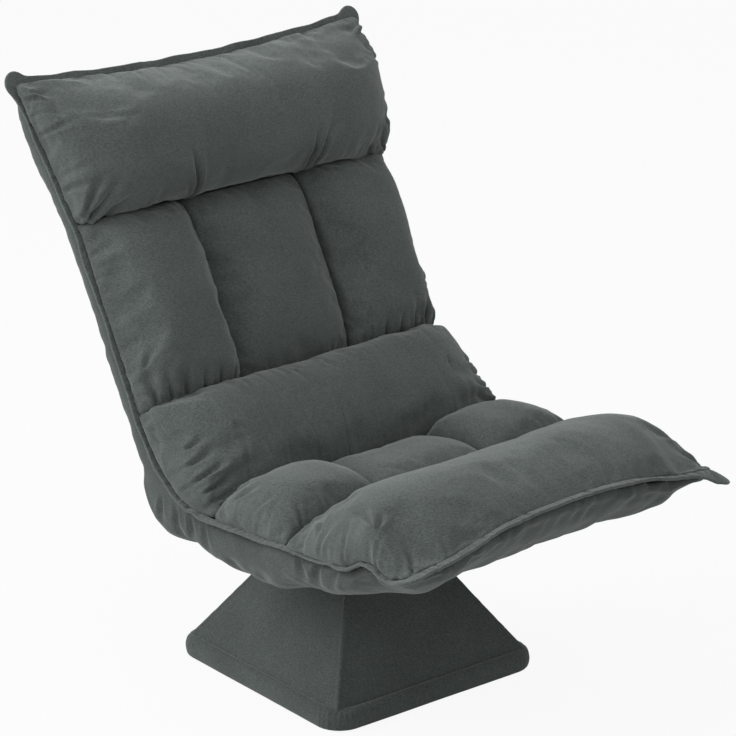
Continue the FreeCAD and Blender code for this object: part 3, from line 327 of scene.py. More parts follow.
def creased(piece, shares, folds, facing):    # folds: x1, a1, x2, a2, width, depth and ridge side
    x, a, _ = shares(coordinates(piece.data))
    amount = np.zeros(len(x))
    for x1, a1, x2, a2, width, depth, side in folds:
        lineX, lineA = x2 - x1, a2 - a1
        length = np.hypot(lineX, lineA)
        share = ((x - x1) * lineX + (a - a1) * lineA) / length ** 2
        bow = 0.06 * length * np.sin(pi * np.clip(share, 0, 1))
        offset = ((x - x1) * lineA - (a - a1) * lineX) / length + bow
        q = offset / (width * (0.35 + 0.9 * np.clip(share, 0, 1)))
        fade = smoothStep(share, -0.12, 0.06) * (1 - smoothStep(share, 0.25, 1.0))
        amount += depth * fade * (-1.1 * np.exp(-q * q) + 0.55 * np.exp(-(q - 1.9 * side) ** 2)
                                  + 0.25 * np.exp(-(q + 2.3 * side) ** 2))
    return pushed(piece, amount * facing(piece))


def crinkled(piece, seed, coarse=0.0016, fine=0.0004):    # the cloth's soft unevenness
    points = coordinates(piece.data)
    amount = coarse * softNoise(points, 0.07, seed) + fine * softNoise(points, 0.018, seed + 3)
    return pushed(piece, amount)


# Cloth and other finishes

def setInputs(node, values):
    for name, value in values.items():
        node.inputs[name].default_value = value


def mathNode(tree, operation, *values):    # each value is a socket or a number
    made = tree.nodes.new("ShaderNodeMath")
    made.operation = operation
    for socket, value in zip(made.inputs, values):
        if isinstance(value, bpy.types.NodeSocket):
            tree.links.new(value, socket)
        else:
            socket.default_value = value
    return made.outputs[0]


napValues = {"Cloud Size": 14.0, "Cloud": 0.12, "Speckle": 0.62, "Bump": 0.45}


def napGroup():    # brushed cloth: clouded colour, fine speckle and a low nap
    tree = bpy.data.node_groups.new("brushed nap", "ShaderNodeTree")
    base = tree.interface.new_socket(name="Base", in_out="INPUT", socket_type="NodeSocketColor")
    base.default_value = (0.1, 0.1, 0.1, 1)
    for name, value in napValues.items():
        made = tree.interface.new_socket(name=name, in_out="INPUT", socket_type="NodeSocketFloat")
        made.default_value = value
    for name, kind in (("Color", "Color"), ("Roughness", "Float"), ("Normal", "Vector")):
        tree.interface.new_socket(name=name, in_out="OUTPUT", socket_type="NodeSocket" + kind)
    nodes, links = tree.nodes, tree.links
    start, end = nodes.new("NodeGroupInput"), nodes.new("NodeGroupOutput")
    place = nodes.new("ShaderNodeTexCoord")
    cloud, speckle, weave = [nodes.new("ShaderNodeTexNoise") for _ in range(3)]
    setInputs(cloud, {"Detail": 3})
    setInputs(speckle, {"Scale": 310, "Detail": 4, "Roughness": 0.75})
    setInputs(weave, {"Scale": 1500, "Detail": 2})
    streak = nodes.new("ShaderNodeMapping")
    streak.inputs["Scale"].default_value = (1, 1, 3)
    for texture in (cloud, weave):
        links.new(place.outputs["Object"], texture.inputs["Vector"])
    links.new(place.outputs["Object"], streak.inputs["Vector"])
    links.new(streak.outputs["Vector"], speckle.inputs["Vector"])
    links.new(start.outputs["Cloud Size"], cloud.inputs["Scale"])

    def shade(texture, amount):    # 1 plus or minus a share
        centred = mathNode(tree, "SUBTRACT", texture.outputs["Fac"], 0.5)
        strength = mathNode(tree, "MULTIPLY", start.outputs[amount], 4.0)
        return mathNode(tree, "MULTIPLY_ADD", centred, strength, 1.0)

    both = mathNode(tree, "MULTIPLY", shade(cloud, "Cloud"), shade(speckle, "Speckle"))
    tint = nodes.new("ShaderNodeVectorMath")
    tint.operation = "SCALE"
    links.new(start.outputs["Base"], tint.inputs[0])
    links.new(both, tint.inputs["Scale"])
    links.new(tint.outputs[0], end.inputs["Color"])
    rough = nodes.new("ShaderNodeMapRange")
    setInputs(rough, {"To Min": 0.82, "To Max": 1.0})
    links.new(speckle.outputs["Fac"], rough.inputs["Value"])
    links.new(rough.outputs["Result"], end.inputs["Roughness"])
    height = mathNode(tree, "ADD", speckle.outputs["Fac"], weave.outputs["Fac"])
    bump = nodes.new("ShaderNodeBump")
    setInputs(bump, {"Distance": 0.0006})
    links.new(start.outputs["Bump"], bump.inputs["Strength"])
    links.new(height, bump.inputs["Height"])
    links.new(bump.outputs["Normal"], end.inputs["Normal"])
    return tree


nap = napGroup()


def clothFinish(name, base, sheen):
    finish = bpy.data.materials.new(name)
    finish.use_nodes = True
    nodes, links = finish.node_tree.nodes, finish.node_tree.links
    surface = nodes["Principled BSDF"]
    setInputs(surface, {"Specular IOR Level": 0.18, "Sheen Weight": sheen, "Sheen Roughness": 0.45})
    setInputs(surface, {"Sheen Tint": (0.86, 0.93, 0.9, 1)})
    group = nodes.new("ShaderNodeGroup")
    group.node_tree = nap
    setInputs(group, {"Base": (*base, 1)})
    for output, target in (("Color", "Base Color"), ("Roughness", "Roughness"), ("Normal", "Normal")):
        links.new(group.outputs[output], surface.inputs[target])
    return finish


cushionCloth = clothFinish("cushion cloth", (0.083, 0.096, 0.092), 0.35)
underCloth = clothFinish("under cloth", (0.066, 0.077, 0.073), 0.3)
# The welt is the same cloth as the cushions, its colour painted lighter to make up for the shade it lies in:
# painted light.
weltClothPaintedLighter = clothFinish("welt cloth painted lighter", (0.094, 0.108, 0.103), 0.3)
baseCloth = clothFinish("base cloth", (0.066, 0.077, 0.073), 0.25)


def hardFinish(name, base, metallic, roughness, grainScale, grain, bumpDistance, stretch=(1, 1, 1)):
    finish = bpy.data.materials.new(name)
    finish.use_nodes = True
    nodes, links = finish.node_tree.nodes, finish.node_tree.links
    surface = nodes["Principled BSDF"]
    setInputs(surface, {"Metallic": metallic})
    place = nodes.new("ShaderNodeTexCoord")
    turn = nodes.new("ShaderNodeMapping")
    setInputs(turn, {"Scale": stretch})
    links.new(place.outputs["Object"], turn.inputs["Vector"])
    texture = nodes.new("ShaderNodeTexNoise")
    setInputs(texture, {"Scale": grainScale, "Detail": 5})
    links.new(turn.outputs["Vector"], texture.inputs["Vector"])
    colours = nodes.new("ShaderNodeValToRGB")
    colours.color_ramp.elements[0].color = (*[c * (1 - grain) for c in base], 1)
    colours.color_ramp.elements[1].color = (*[min(1, c * (1 + grain)) for c in base], 1)
    colours.color_ramp.elements[0].position = 0.35
    colours.color_ramp.elements[1].position = 0.65
    links.new(texture.outputs["Fac"], colours.inputs["Fac"])
    links.new(colours.outputs["Color"], surface.inputs["Base Color"])
    rough = nodes.new("ShaderNodeMapRange")
    setInputs(rough, {"To Min": max(0.05, roughness - 0.08), "To Max": min(1, roughness + 0.08)})
    links.new(texture.outputs["Fac"], rough.inputs["Value"])
    links.new(rough.outputs["Result"], surface.inputs["Roughness"])
    bump = nodes.new("ShaderNodeBump")
    setInputs(bump, {"Strength": 0.3, "Distance": bumpDistance})
    links.new(texture.outputs["Fac"], bump.inputs["Height"])
    links.new(bump.outputs["Normal"], surface.inputs["Normal"])
    return finish


slotFinishes = {
    "cushion_cloth": cushionCloth,
    "under_cloth": underCloth,
    "welt_cloth": weltClothPaintedLighter,
    "base_cloth": baseCloth,
    "webbing": hardFinish("woven webbing", (0.05, 0.05, 0.052), 0, 0.8, 900, 0.4, 0.0004, (1, 0.3, 1)),
    "plywood": hardFinish("plywood", (0.52, 0.38, 0.22), 0, 0.6, 26, 0.22, 0.0002, (1, 9, 9)),
    "frame_steel": hardFinish("painted tube", (0.022, 0.022, 0.023), 0, 0.45, 160, 0.15, 0.0001),
    "zinc_steel": hardFinish("zinc plate", (0.56, 0.57, 0.58), 1, 0.38, 90, 0.1, 0.00005),
    "hinge_steel": hardFinish("hinge steel", (0.42, 0.42, 0.43), 1, 0.42, 120, 0.12, 0.00005),
    "cage_plastic": hardFinish("cage plastic", (0.72, 0.72, 0.68), 0, 0.5, 60, 0.04, 0.00005),
    "anti_slip_rubber": hardFinish("anti-slip rubber", (0.028, 0.028, 0.029), 0, 0.85, 500, 0.2, 0.0003),
}
nodeSlots = {row["node"]: row["material_slot"] for row in frame["record"]["subparts"]}
for nodeName, solid in frame["nodes"].items():
    solid.data.materials.clear()
    solid.data.materials.append(slotFinishes[nodeSlots[nodeName]])
print("finishes made")


def dressed(piece, finish, slot, body, *replaced):
    piece.data.materials.clear()
    piece.data.materials.append(finish)
    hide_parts(*replaced)
    if body:
        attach(piece, body)
    return piece


def acrossHinge(piece):
    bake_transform(piece)


# Channel cushions: a section along the seat or the back, carried across between two seams
backSet = {
    "place": backPlace,
    "shares": backShares,
    "half": backHalf,
    "plane": chair["backPlane"],
    "body": "back",
}
seatSet = {
    "place": seatPlace,
    "shares": seatShares,
    "half": seatHalf,
    "plane": chair["seatPlane"],
    "body": "seat",
}
channel = {
    "seamX": 0.099,          # where the long seams lie
    "wide": 0.2585,          # half of the back at the bend
    "voxel": 0.0052,
    "sewn": 0.004,           # cloth this near to a seam is held
    "seamHeld": 0.02,        # at the long seams up to this height
    "outerEdge": 0.0035,     # how far the side cushions run out past the seam line
    "endShare": 0.7,         # the tucks of the upper or front end are this much smaller
    "tucks": {"spacing": 0.021, "depth": 0.0024, "reach": 0.02, "width": 0.003},
}


def sectionLine(front, start, end):    # the section's front, then straight back along its base
    line = sampled([(start, 0.0)] + front + [(end, 0.0)])
    base = np.stack([np.linspace(end, start, 60), np.zeros(60)], axis=-1)[1:]
    return np.vstack([line, base])


def frontFacing(shares, plane):    # 1 on the cushion's shown side, 0 on its hidden base
    def facing(piece):
        _, _, height = shares(coordinates(piece.data))
        return smoothStep(height, plane + 0.004, plane + 0.016)
    return facing


def channelCushion(name, group, look):
    plane, halfAt, seamX = group["plane"], group["half"], channel["seamX"]
    line = evenLine(sectionLine(look["front"], look["start"], look["end"]))

    def surface(a, b):
        point = along(line, a)
        level, rise = point[:, 0], point[:, 1]
        x = look["inner"] + (look["outer"] - look["inner"]) * b
        x = x * (1 + (halfAt(level) / channel["wide"] - 1) * smoothStep(np.abs(x), 0.1, 0.25))
        edge = roundOver(halfAt(level) + channel["outerEdge"] - np.abs(x), look["edgeRadius"])
        seam = roundOver(np.abs(np.abs(x) - seamX), look["seamRadius"])
        rise = rise * edge * (look["seamShare"] + (1 - look["seamShare"]) * seam)
        return group["place"](x, level, plane + rise)

    piece = surfacePiece(name, 140, 60, surface)
    remeshed(piece, channel["voxel"])
    x, level, height = group["shares"](coordinates(piece.data))
    held = channel["sewn"]
    atSeam = np.abs(np.abs(x) - seamX) < held
    pinned = (height < plane + held) | atSeam & (height < plane + channel["seamHeld"])
    pinned |= (level < look["start"] + held) | (level > look["end"] - held)
    inflated(piece, pinned, look)
    refined(piece)
    creased(piece, group["shares"], look["folds"], frontFacing(group["shares"], plane))
    x, level, height = group["shares"](coordinates(piece.data))
    toEdge = halfAt(level) - np.abs(x)
    gather = tucks(level, toEdge, channel["tucks"], look["seed"]) * look["sideTucks"]
    gather += tucks(x, level - look["start"], channel["tucks"], look["seed"] + 1) * look["endTucks"]
    toEnd = tucks(x, look["end"] - level, channel["tucks"], look["seed"] + 2)
    gather += toEnd * look["endTucks"] * channel["endShare"]
    pushed(piece, gather * frontFacing(group["shares"], plane)(piece))
    crinkled(piece, look["seed"])
    dressed(piece, cushionCloth, "cushion_cloth", group["body"], look["stands for"])
    return piece


def mirrored(look, side, sign):    # the folds of the right-hand side lie a little off the left-hand ones
    shift = 0.004 * (1 + sign) / 2
    folds = [(sign * x1, a1 + shift, sign * x2, a2 - shift, width, depth, sign * ridge)
             for x1, a1, x2, a2, width, depth, ridge in look["folds"]]
    return look | {
        "inner": sign * look["inner"], "outer": sign * look["outer"], "folds": folds,
        "seed": look["seed"] + sign, "stands for": look["stands for"] + side,
    }


backSide = {
    "start": 0.091, "end": 0.3515, "inner": 0.1008, "outer": 0.26,
    "front": [(0.0912, 0.02), (0.098, 0.04), (0.122, 0.057), (0.17, 0.064), (0.235, 0.065),
              (0.295, 0.058), (0.334, 0.04), (0.349, 0.018)],
    "edgeRadius": 0.075, "seamShare": 0.3, "seamRadius": 0.05,
    "pressure": 2.5, "slack": 0.035, "cap": 0.008, "fill": 0.7,
    "sideTucks": 0.6, "endTucks": 0.7, "seed": 11, "stands for": "back_pillow_",
    "folds": [
        (0.125, 0.094, 0.12, 0.135, 0.0042, 0.0026, 1), (0.148, 0.093, 0.146, 0.14, 0.0045, 0.0036, 1),
        (0.172, 0.092, 0.176, 0.136, 0.005, 0.0044, -1), (0.198, 0.092, 0.206, 0.14, 0.0055, 0.0054, -1),
        (0.222, 0.094, 0.232, 0.15, 0.006, 0.0056, -1), (0.244, 0.1, 0.246, 0.16, 0.0055, 0.0046, 1),
        (0.25, 0.15, 0.225, 0.178, 0.0045, 0.003, 1),
    ],
}
backMiddle = {
    "start": 0.091, "end": 0.3515, "inner": -0.0992, "outer": 0.0992,
    "front": [(0.0912, 0.014), (0.098, 0.028), (0.125, 0.041), (0.175, 0.047), (0.24, 0.048),
              (0.3, 0.043), (0.335, 0.03), (0.349, 0.014)],
    "edgeRadius": 0.06, "seamShare": 0.36, "seamRadius": 0.07,
    "pressure": 2.0, "slack": 0.02, "cap": 0.006, "fill": 0.6,
    "sideTucks": 0.0, "endTucks": 0.35, "seed": 21, "stands for": "back_pillow_middle",
    "folds": [
        (0.06, 0.093, 0.056, 0.122, 0.004, 0.0016, 1), (-0.05, 0.093, -0.058, 0.125, 0.004, 0.0018, -1),
    ],
}
seatSide = {
    "start": 0.098, "end": 0.2432, "inner": 0.1008, "outer": 0.26,
    "front": [(0.0982, 0.022), (0.104, 0.038), (0.126, 0.054), (0.162, 0.06), (0.2, 0.057),
              (0.228, 0.045), (0.2405, 0.026)],
    "edgeRadius": 0.08, "seamShare": 0.56, "seamRadius": 0.045,
    "pressure": 2.5, "slack": 0.035, "cap": 0.008, "fill": 0.7,
    "sideTucks": 0.45, "endTucks": 0.4, "seed": 31, "stands for": "seat_pillow_",
    "folds": [
        (0.205, 0.1, 0.2, 0.13, 0.005, 0.0026, 1), (0.236, 0.104, 0.226, 0.14, 0.0055, 0.0032, -1),
        (0.252, 0.134, 0.222, 0.158, 0.006, 0.003, 1), (0.256, 0.18, 0.23, 0.19, 0.0055, 0.0022, 1),
        (0.2, 0.242, 0.198, 0.214, 0.0045, 0.0018, 1), (0.238, 0.241, 0.226, 0.206, 0.005, 0.003, -1),
    ],
}
seatMiddle = {
    "start": 0.098, "end": 0.2432, "inner": -0.0992, "outer": 0.0992,
    "front": [(0.0982, 0.018), (0.104, 0.03), (0.128, 0.039), (0.165, 0.042), (0.203, 0.041),
              (0.23, 0.034), (0.2415, 0.02)],
    "edgeRadius": 0.06, "seamShare": 0.62, "seamRadius": 0.05,
    "pressure": 2.0, "slack": 0.02, "cap": 0.006, "fill": 0.6,
    "sideTucks": 0.0, "endTucks": 0.3, "seed": 41, "stands for": "seat_pillow_middle",
    "folds": [(0.04, 0.242, 0.044, 0.222, 0.0035, 0.0014, 1)],
}
for side, sign in (("left", -1), ("right", 1)):
    channelCushion("back_side_cushion_" + side, backSet, mirrored(backSide, side, sign))
    channelCushion("seat_side_cushion_" + side, seatSet, mirrored(seatSide, side, sign))
channelCushion("back_middle_cushion", backSet, backMiddle)
channelCushion("seat_middle_cushion", seatSet, seatMiddle)
print("channels made")

# Front roll
frontRoll = {
    "half": 0.273, "from": 0.2445, "to": 0.4695, "flat": 0.04,
    "back": [(0.2455, 0.02), (0.252, 0.036), (0.277, 0.056), (0.314, 0.072), (0.352, 0.082),
             (0.385, 0.084), (0.416, 0.078), (0.444, 0.063), (0.462, 0.043)],
    "edgeRadius": 0.095, "pressure": 3.0, "slack": 0.03, "cap": 0.008, "fill": 0.85,
    "tucks": {"spacing": 0.024, "depth": 0.0028, "reach": 0.022, "width": 0.0034},
    "frontTucks": 0.5, "backTucks": 0.3, "seed": 51,
    "folds": [
        (-0.262, 0.395, -0.238, 0.33, 0.006, 0.0056, 1), (-0.264, 0.405, -0.222, 0.372, 0.0055, 0.0046, -1),
        (-0.258, 0.462, -0.232, 0.415, 0.0055, 0.004, 1), (-0.205, 0.468, -0.198, 0.44, 0.0042, 0.0016, 1),
        (-0.262, 0.3, -0.236, 0.276, 0.005, 0.003, 1), (0.262, 0.33, 0.226, 0.318, 0.0055, 0.004, 1),
        (0.264, 0.372, 0.216, 0.352, 0.006, 0.0046, -1), (0.264, 0.41, 0.222, 0.404, 0.0055, 0.0036, 1),
        (0.262, 0.452, 0.236, 0.424, 0.005, 0.0036, -1), (0.262, 0.288, 0.236, 0.272, 0.005, 0.0028, -1),
    ],
}


def frontRollSurface(a, b):
    start = (frontRoll["from"], 0.0)
    front = sampled([start] + frontRoll["back"] + [(frontRoll["to"], chair["frontLift"])])
    line = evenLine(np.vstack([front, [(chair["frontStart"], 0.0), start]]))
    point = along(line, a)
    s, rise = point[:, 0], point[:, 1]
    x = frontRoll["half"] * (2 * b - 1)
    low = seatSeam(s) - chair["seatPlane"]
    edge = 0.05 + 0.95 * roundOver(frontRoll["half"] + 0.001 - np.abs(x), frontRoll["edgeRadius"])
    middle = 1 - frontRoll["flat"] * np.exp(-(x / 0.1) ** 2)
    return seatPlace(x, s, chair["seatPlane"] + low + (rise - low) * edge * middle)


piece = surfacePiece("front_roll_cushion", 150, 110, frontRollSurface)
remeshed(piece, channel["voxel"])
x, s, t = seatShares(coordinates(piece.data))
inflated(piece, (t < seatSeam(s) + channel["sewn"]) | (s < 0.2485) & (t < 0.0), frontRoll)
refined(piece)
shown = frontFacing(seatShares, chair["seatPlane"])
creased(piece, seatShares, frontRoll["folds"], shown)
x, s, t = seatShares(coordinates(piece.data))
gather = tucks(s, frontRoll["half"] - np.abs(x), frontRoll["tucks"], frontRoll["seed"])
ends = smoothStep(np.abs(x), 0.05, 0.2)
toFront = tucks(x, chair["frontEnd"] - s, frontRoll["tucks"], frontRoll["seed"] + 1)
gather += toFront * frontRoll["frontTucks"] * ends
toBack = tucks(x, s - frontRoll["from"], frontRoll["tucks"], frontRoll["seed"] + 2)
gather += toBack * frontRoll["backTucks"]
pushed(piece, gather * shown(piece))
crinkled(piece, frontRoll["seed"])
setCoordinates(piece.data, droop(coordinates(piece.data)))
dressed(piece, cushionCloth, "cushion_cloth", "seat", "front_roll")
print("front roll made")

# Head roll: it hangs a little over the channels, and its ends run out to the corners of the back
headRoll = {
    "low": 0.3525, "high": 0.546, "seamHalf": 0.266, "reach": 0.2935,
    "front": [(-0.01, 0.012), (-0.046, 0.026), (-0.04, 0.045), (0.03, 0.064), (0.19, 0.08),
              (0.4, 0.0865), (0.6, 0.081), (0.78, 0.065), (0.9, 0.044), (0.975, 0.022)],
    "edgeRadius": 0.105, "pressure": 3.0, "slack": 0.03, "cap": 0.008, "fill": 0.85,
    "tucks": {"spacing": 0.026, "depth": 0.0026, "reach": 0.02, "width": 0.0034},
    "topTucks": 0.6, "lowTucks": 0.5, "seed": 61,
    "folds": [
        (-0.098, 0.345, -0.112, 0.428, 0.0055, 0.0066, 1), (-0.104, 0.346, -0.134, 0.382, 0.0045, 0.0018, -1),
        (0.098, 0.346, 0.106, 0.404, 0.0052, 0.0046, -1), (0.108, 0.35, 0.146, 0.418, 0.005, 0.0038, 1),
        (-0.256, 0.35, -0.218, 0.392, 0.006, 0.0066, 1), (-0.262, 0.362, -0.24, 0.404, 0.005, 0.005, -1),
        (-0.24, 0.347, -0.19, 0.366, 0.0045, 0.0034, 1), (0.256, 0.35, 0.226, 0.384, 0.0055, 0.0054, -1),
        (0.262, 0.364, 0.24, 0.404, 0.005, 0.0044, 1), (0.232, 0.346, 0.206, 0.366, 0.0042, 0.003, 1),
        (-0.286, 0.528, -0.246, 0.51, 0.006, 0.003, 1), (0.284, 0.53, 0.24, 0.522, 0.006, 0.003, -1),
    ],
}


def headRollSurface(a, b):
    rows = headRoll["high"] - headRoll["low"]
    line = evenLine(np.vstack([sampled([(0.0, 0.0)] + headRoll["front"] + [(1.0, 0.0)]), [(0.0, 0.0)]]))
    point = along(line * [rows, 1], a) / [rows, 1]
    x = headRoll["reach"] * (2 * b - 1)
    wide = np.abs(x)
    share = (wide - headRoll["seamHalf"]) / (headRoll["reach"] - headRoll["seamHalf"])
    low = headRoll["low"] + rows * np.clip(share, 0, 0.97)
    u = low + point[:, 0] * (topEdge(x) - 0.001 - low)
    edge = roundOver(backHalf(np.maximum(u, headRoll["low"])) + 0.0038 - wide, headRoll["edgeRadius"])
    return backPlace(x, u, chair["backPlane"] + point[:, 1] * (0.03 + 0.97 * edge))


piece = surfacePiece("head_roll_cushion", 160, 130, headRollSurface)
remeshed(piece, channel["voxel"])
x, u, w = backShares(coordinates(piece.data))
inflated(piece, w < chair["backPlane"] + channel["sewn"], headRoll)
refined(piece)
shown = frontFacing(backShares, chair["backPlane"])
creased(piece, backShares, headRoll["folds"], shown)
x, u, w = backShares(coordinates(piece.data))
gather = tucks(u, backHalf(u) - np.abs(x), headRoll["tucks"], headRoll["seed"])
gather += tucks(x, topEdge(x) - u, headRoll["tucks"], headRoll["seed"] + 1) * headRoll["topTucks"]
ends = smoothStep(np.abs(x), 0.08, 0.2)
toLow = tucks(x, u - headRoll["low"], headRoll["tucks"], headRoll["seed"] + 2)
gather += toLow * headRoll["lowTucks"] * ends
pushed(piece, gather * shown(piece))
crinkled(piece, headRoll["seed"])
dressed(piece, cushionCloth, "cushion_cloth", "back", "head_roll")
print("head roll made")

# Lumbar roll in the bend, drawn in side view (y, z)
lumbar = {
    "half": 0.2615,
    "side": [(0.127, 0.39), (0.11, 0.405), (0.086, 0.41), (0.056, 0.401), (0.026, 0.379), (0.002, 0.352),
             (-0.016, 0.327), (-0.024, 0.304), (-0.021, 0.288)],
    "inside": [(-0.018, 0.276), (0.01, 0.274), (0.06, 0.29), (0.09, 0.32),
               (0.118, 0.35), (0.133, 0.376)],
    "edgeRadius": 0.085, "pressure": 3.0, "slack": 0.035, "cap": 0.009, "fill": 0.8,
    "tucks": {"spacing": 0.02, "depth": 0.003, "reach": 0.024, "width": 0.0034}, "seed": 71,
    "turnY": -0.1, "turnZ": 0.4, "turnStart": 1.0, "turnRadius": 0.17,    # for the way round it
    "sewn": 0.006, "seamTucks": 0.7, "coarse": 0.0022,
    "folds": [
        (0.256, 0.045, 0.205, 0.062, 0.006, 0.005, 1), (0.257, 0.07, 0.214, 0.09, 0.0055, 0.0048, -1),
        (0.256, 0.094, 0.222, 0.118, 0.0055, 0.0044, 1), (0.254, 0.026, 0.216, 0.03, 0.0055, 0.0036, -1),
        (0.25, 0.118, 0.226, 0.138, 0.005, 0.0036, 1), (0.19, 0.146, 0.18, 0.122, 0.005, 0.0024, 1),
    ],
}
bendLine = [(-0.0187, 0.2754), (0.03, 0.2795), (0.0686, 0.2985), (0.105, 0.333), (0.132, 0.3748)]
bendLine = sampled(bendLine, 200)


def nearBend(y, z):    # the nearest point of the seam line in the bend, in side view
    line = bendLine[::2]
    return line[np.argmin(np.hypot(y[:, None] - line[:, 0], z[:, None] - line[:, 1]), axis=1)]


def lumbarSurface(a, b):
    outer = sampled([(0.132, 0.377)] + lumbar["side"] + [(-0.018, 0.276)], 300)
    line = evenLine(np.vstack([outer, np.array(lumbar["inside"])[1:]]), 500)
    point = along(np.vstack([line, line[:1]]), a)
    x = lumbar["half"] * (2 * b - 1)
    edge = 0.04 + 0.96 * roundOver(lumbar["half"] + 0.001 - np.abs(x), lumbar["edgeRadius"])
    foot = nearBend(point[:, 0], point[:, 1])
    place = foot + (point - foot) * edge[:, None]
    return np.stack([x, place[:, 0], place[:, 1]], axis=-1)


def lumbarShares(points):    # x without its side, the way round the roll, and the height off the seam line
    turn = np.arctan2(points[:, 2] - lumbar["turnZ"], points[:, 1] - lumbar["turnY"]) + lumbar["turnStart"]
    foot = nearBend(points[:, 1], points[:, 2])
    off = np.hypot(points[:, 1] - foot[:, 0], points[:, 2] - foot[:, 1])
    return np.abs(points[:, 0]), lumbar["turnRadius"] * turn, off


def lumbarShown(piece):
    return smoothStep(lumbarShares(coordinates(piece.data))[2], lumbar["sewn"], 0.02)


piece = surfacePiece("lumbar_roll_cushion", 150, 110, lumbarSurface)
remeshed(piece, channel["voxel"])
inflated(piece, lumbarShares(coordinates(piece.data))[2] < lumbar["sewn"], lumbar)
refined(piece)
creased(piece, lumbarShares, lumbar["folds"], lumbarShown)
points = coordinates(piece.data)
x = points[:, 0]
wide, way, off = lumbarShares(points)
toBack, toSeat = np.abs(backShares(points)[1] - 0.092), np.abs(seatShares(points)[1] - 0.096)
gather = tucks(x, toBack, lumbar["tucks"], lumbar["seed"]) * lumbar["seamTucks"]
gather += tucks(x, toSeat, lumbar["tucks"], lumbar["seed"] + 1) * lumbar["seamTucks"]
gather += tucks(way, lumbar["half"] - wide, lumbar["tucks"], lumbar["seed"] + 2)
pushed(piece, gather * lumbarShown(piece))
crinkled(piece, lumbar["seed"], lumbar["coarse"])
dressed(piece, cushionCloth, "cushion_cloth", None, "lumbar_roll")
acrossHinge(piece)
print("lumbar roll made")

# Under cover: one pan of padding under the seat, round the bend and up behind the back
underCover = {
    "seatFrom": 0.024, "seatTo": 0.47, "backFrom": 0.024, "backTo": 0.546,
    "seatShare": [0.0, 0.18, 0.37, 0.61, 0.78, 0.9, 0.955, 0.985, 1.0],
    "seatDeep": [0.77, 0.93, 1.0, 0.75, 0.5, 0.36, 0.2, -0.1, -0.44],
    "seatDepth": 0.0735,
    "backShare": [0.0, 0.3, 0.57, 0.72, 0.86, 0.93, 0.97, 1.0],
    "backDeep": [0.97, 1.0, 1.0, 0.99, 0.92, 0.78, 0.52, 0.02],
    "backDepth": 0.0455,
    "seatPart": 0.4, "bendPart": 0.56,    # how much of the pan's length is seat, and seat and bend
    "fullness": 6.5, "frontFullness": 2.0, "shownPart": 0.62,
    "seatRise": 0.0226, "backRise": 0.01,    # how far its hidden top comes up into the bend
    "sewnX": 0.2555, "sewnShare": 0.99, "tuckShare": 0.6, "coarse": 0.003, "fine": 0.0006,
    "voxel": 0.008, "pressure": 1.5, "slack": 0.035, "cap": 0.007, "fill": 0.55,
    "tucks": {"spacing": 0.036, "depth": 0.0036, "reach": 0.03, "width": 0.0052}, "seed": 81,
    "wallFolds": [
        (-0.036, 0.262, -0.072, 0.275, 0.007, 0.004, 1), (-0.036, 0.3, -0.078, 0.292, 0.0075, 0.005, -1),
        (-0.036, 0.338, -0.068, 0.318, 0.007, 0.0042, 1), (-0.03, 0.398, -0.058, 0.385, 0.0065, 0.0044, 1),
        (-0.02, 0.428, -0.052, 0.415, 0.006, 0.0038, -1), (-0.04, 0.076, -0.085, 0.084, 0.006, 0.0036, 1),
        (-0.034, 0.048, -0.08, 0.052, 0.006, 0.0044, -1), (-0.03, 0.02, -0.076, 0.022, 0.006, 0.004, 1),
        (-0.024, -0.01, -0.07, -0.014, 0.006, 0.0034, -1),
    ],
}


def panSection(a, b):    # shares across and down a flat-topped pan, its shown side first
    part = underCover["shownPart"]
    shown = a < part
    angle = np.where(shown, a / part, 0) * pi
    front = 1 - smoothStep(b, 0.01, 0.17)
    power = 2 / (underCover["fullness"] * (1 - front) + underCover["frontFullness"] * front)
    rounded = -np.sign(np.cos(angle)) * np.abs(np.cos(angle)) ** power
    across = np.where(shown, rounded, 1 - 2 * (a - part) / 0.38)
    down = np.where(shown, np.abs(np.sin(angle)) ** power, 0.0)
    return across, down


def underSeat(b, across, down):    # b is 0 at the front and seatPart at the bend
    look = underCover
    length = look["seatTo"] - look["seatFrom"]
    s = look["seatTo"] - length * np.clip(b / look["seatPart"], 0, 1)
    share = (s - look["seatFrom"]) / length
    deep = look["seatDepth"] * np.interp(share, look["seatShare"], look["seatDeep"])
    top = seatSeam(s) + look["seatRise"] * (1 - smoothStep(s, 0.024, 0.073)) - 0.001
    bottom = np.minimum(chair["seatPlane"] - deep, top - 0.002)
    return seatPlace(across * seatHalf(s), s, top + (bottom - top) * down)


def underBack(b, across, down):    # b is bendPart at the bend and 1 at the top
    look = underCover
    length = look["backTo"] - look["backFrom"]
    share = np.clip((b - look["bendPart"]) / (1 - look["bendPart"]), 0, 1)
    u = look["backFrom"] + length * share
    x = across * backHalf(u)
    deep = look["backDepth"] * np.interp(share, look["backShare"], look["backDeep"])
    dip = (look["backTo"] - topEdge(x)) * smoothStep(u, 0.352, look["backTo"])
    top = chair["backPlane"] + look["backRise"] * (1 - smoothStep(u, 0.024, 0.06)) - 0.001
    return backPlace(x, u - dip, top + (chair["backPlane"] - deep - top - 0.002) * down)


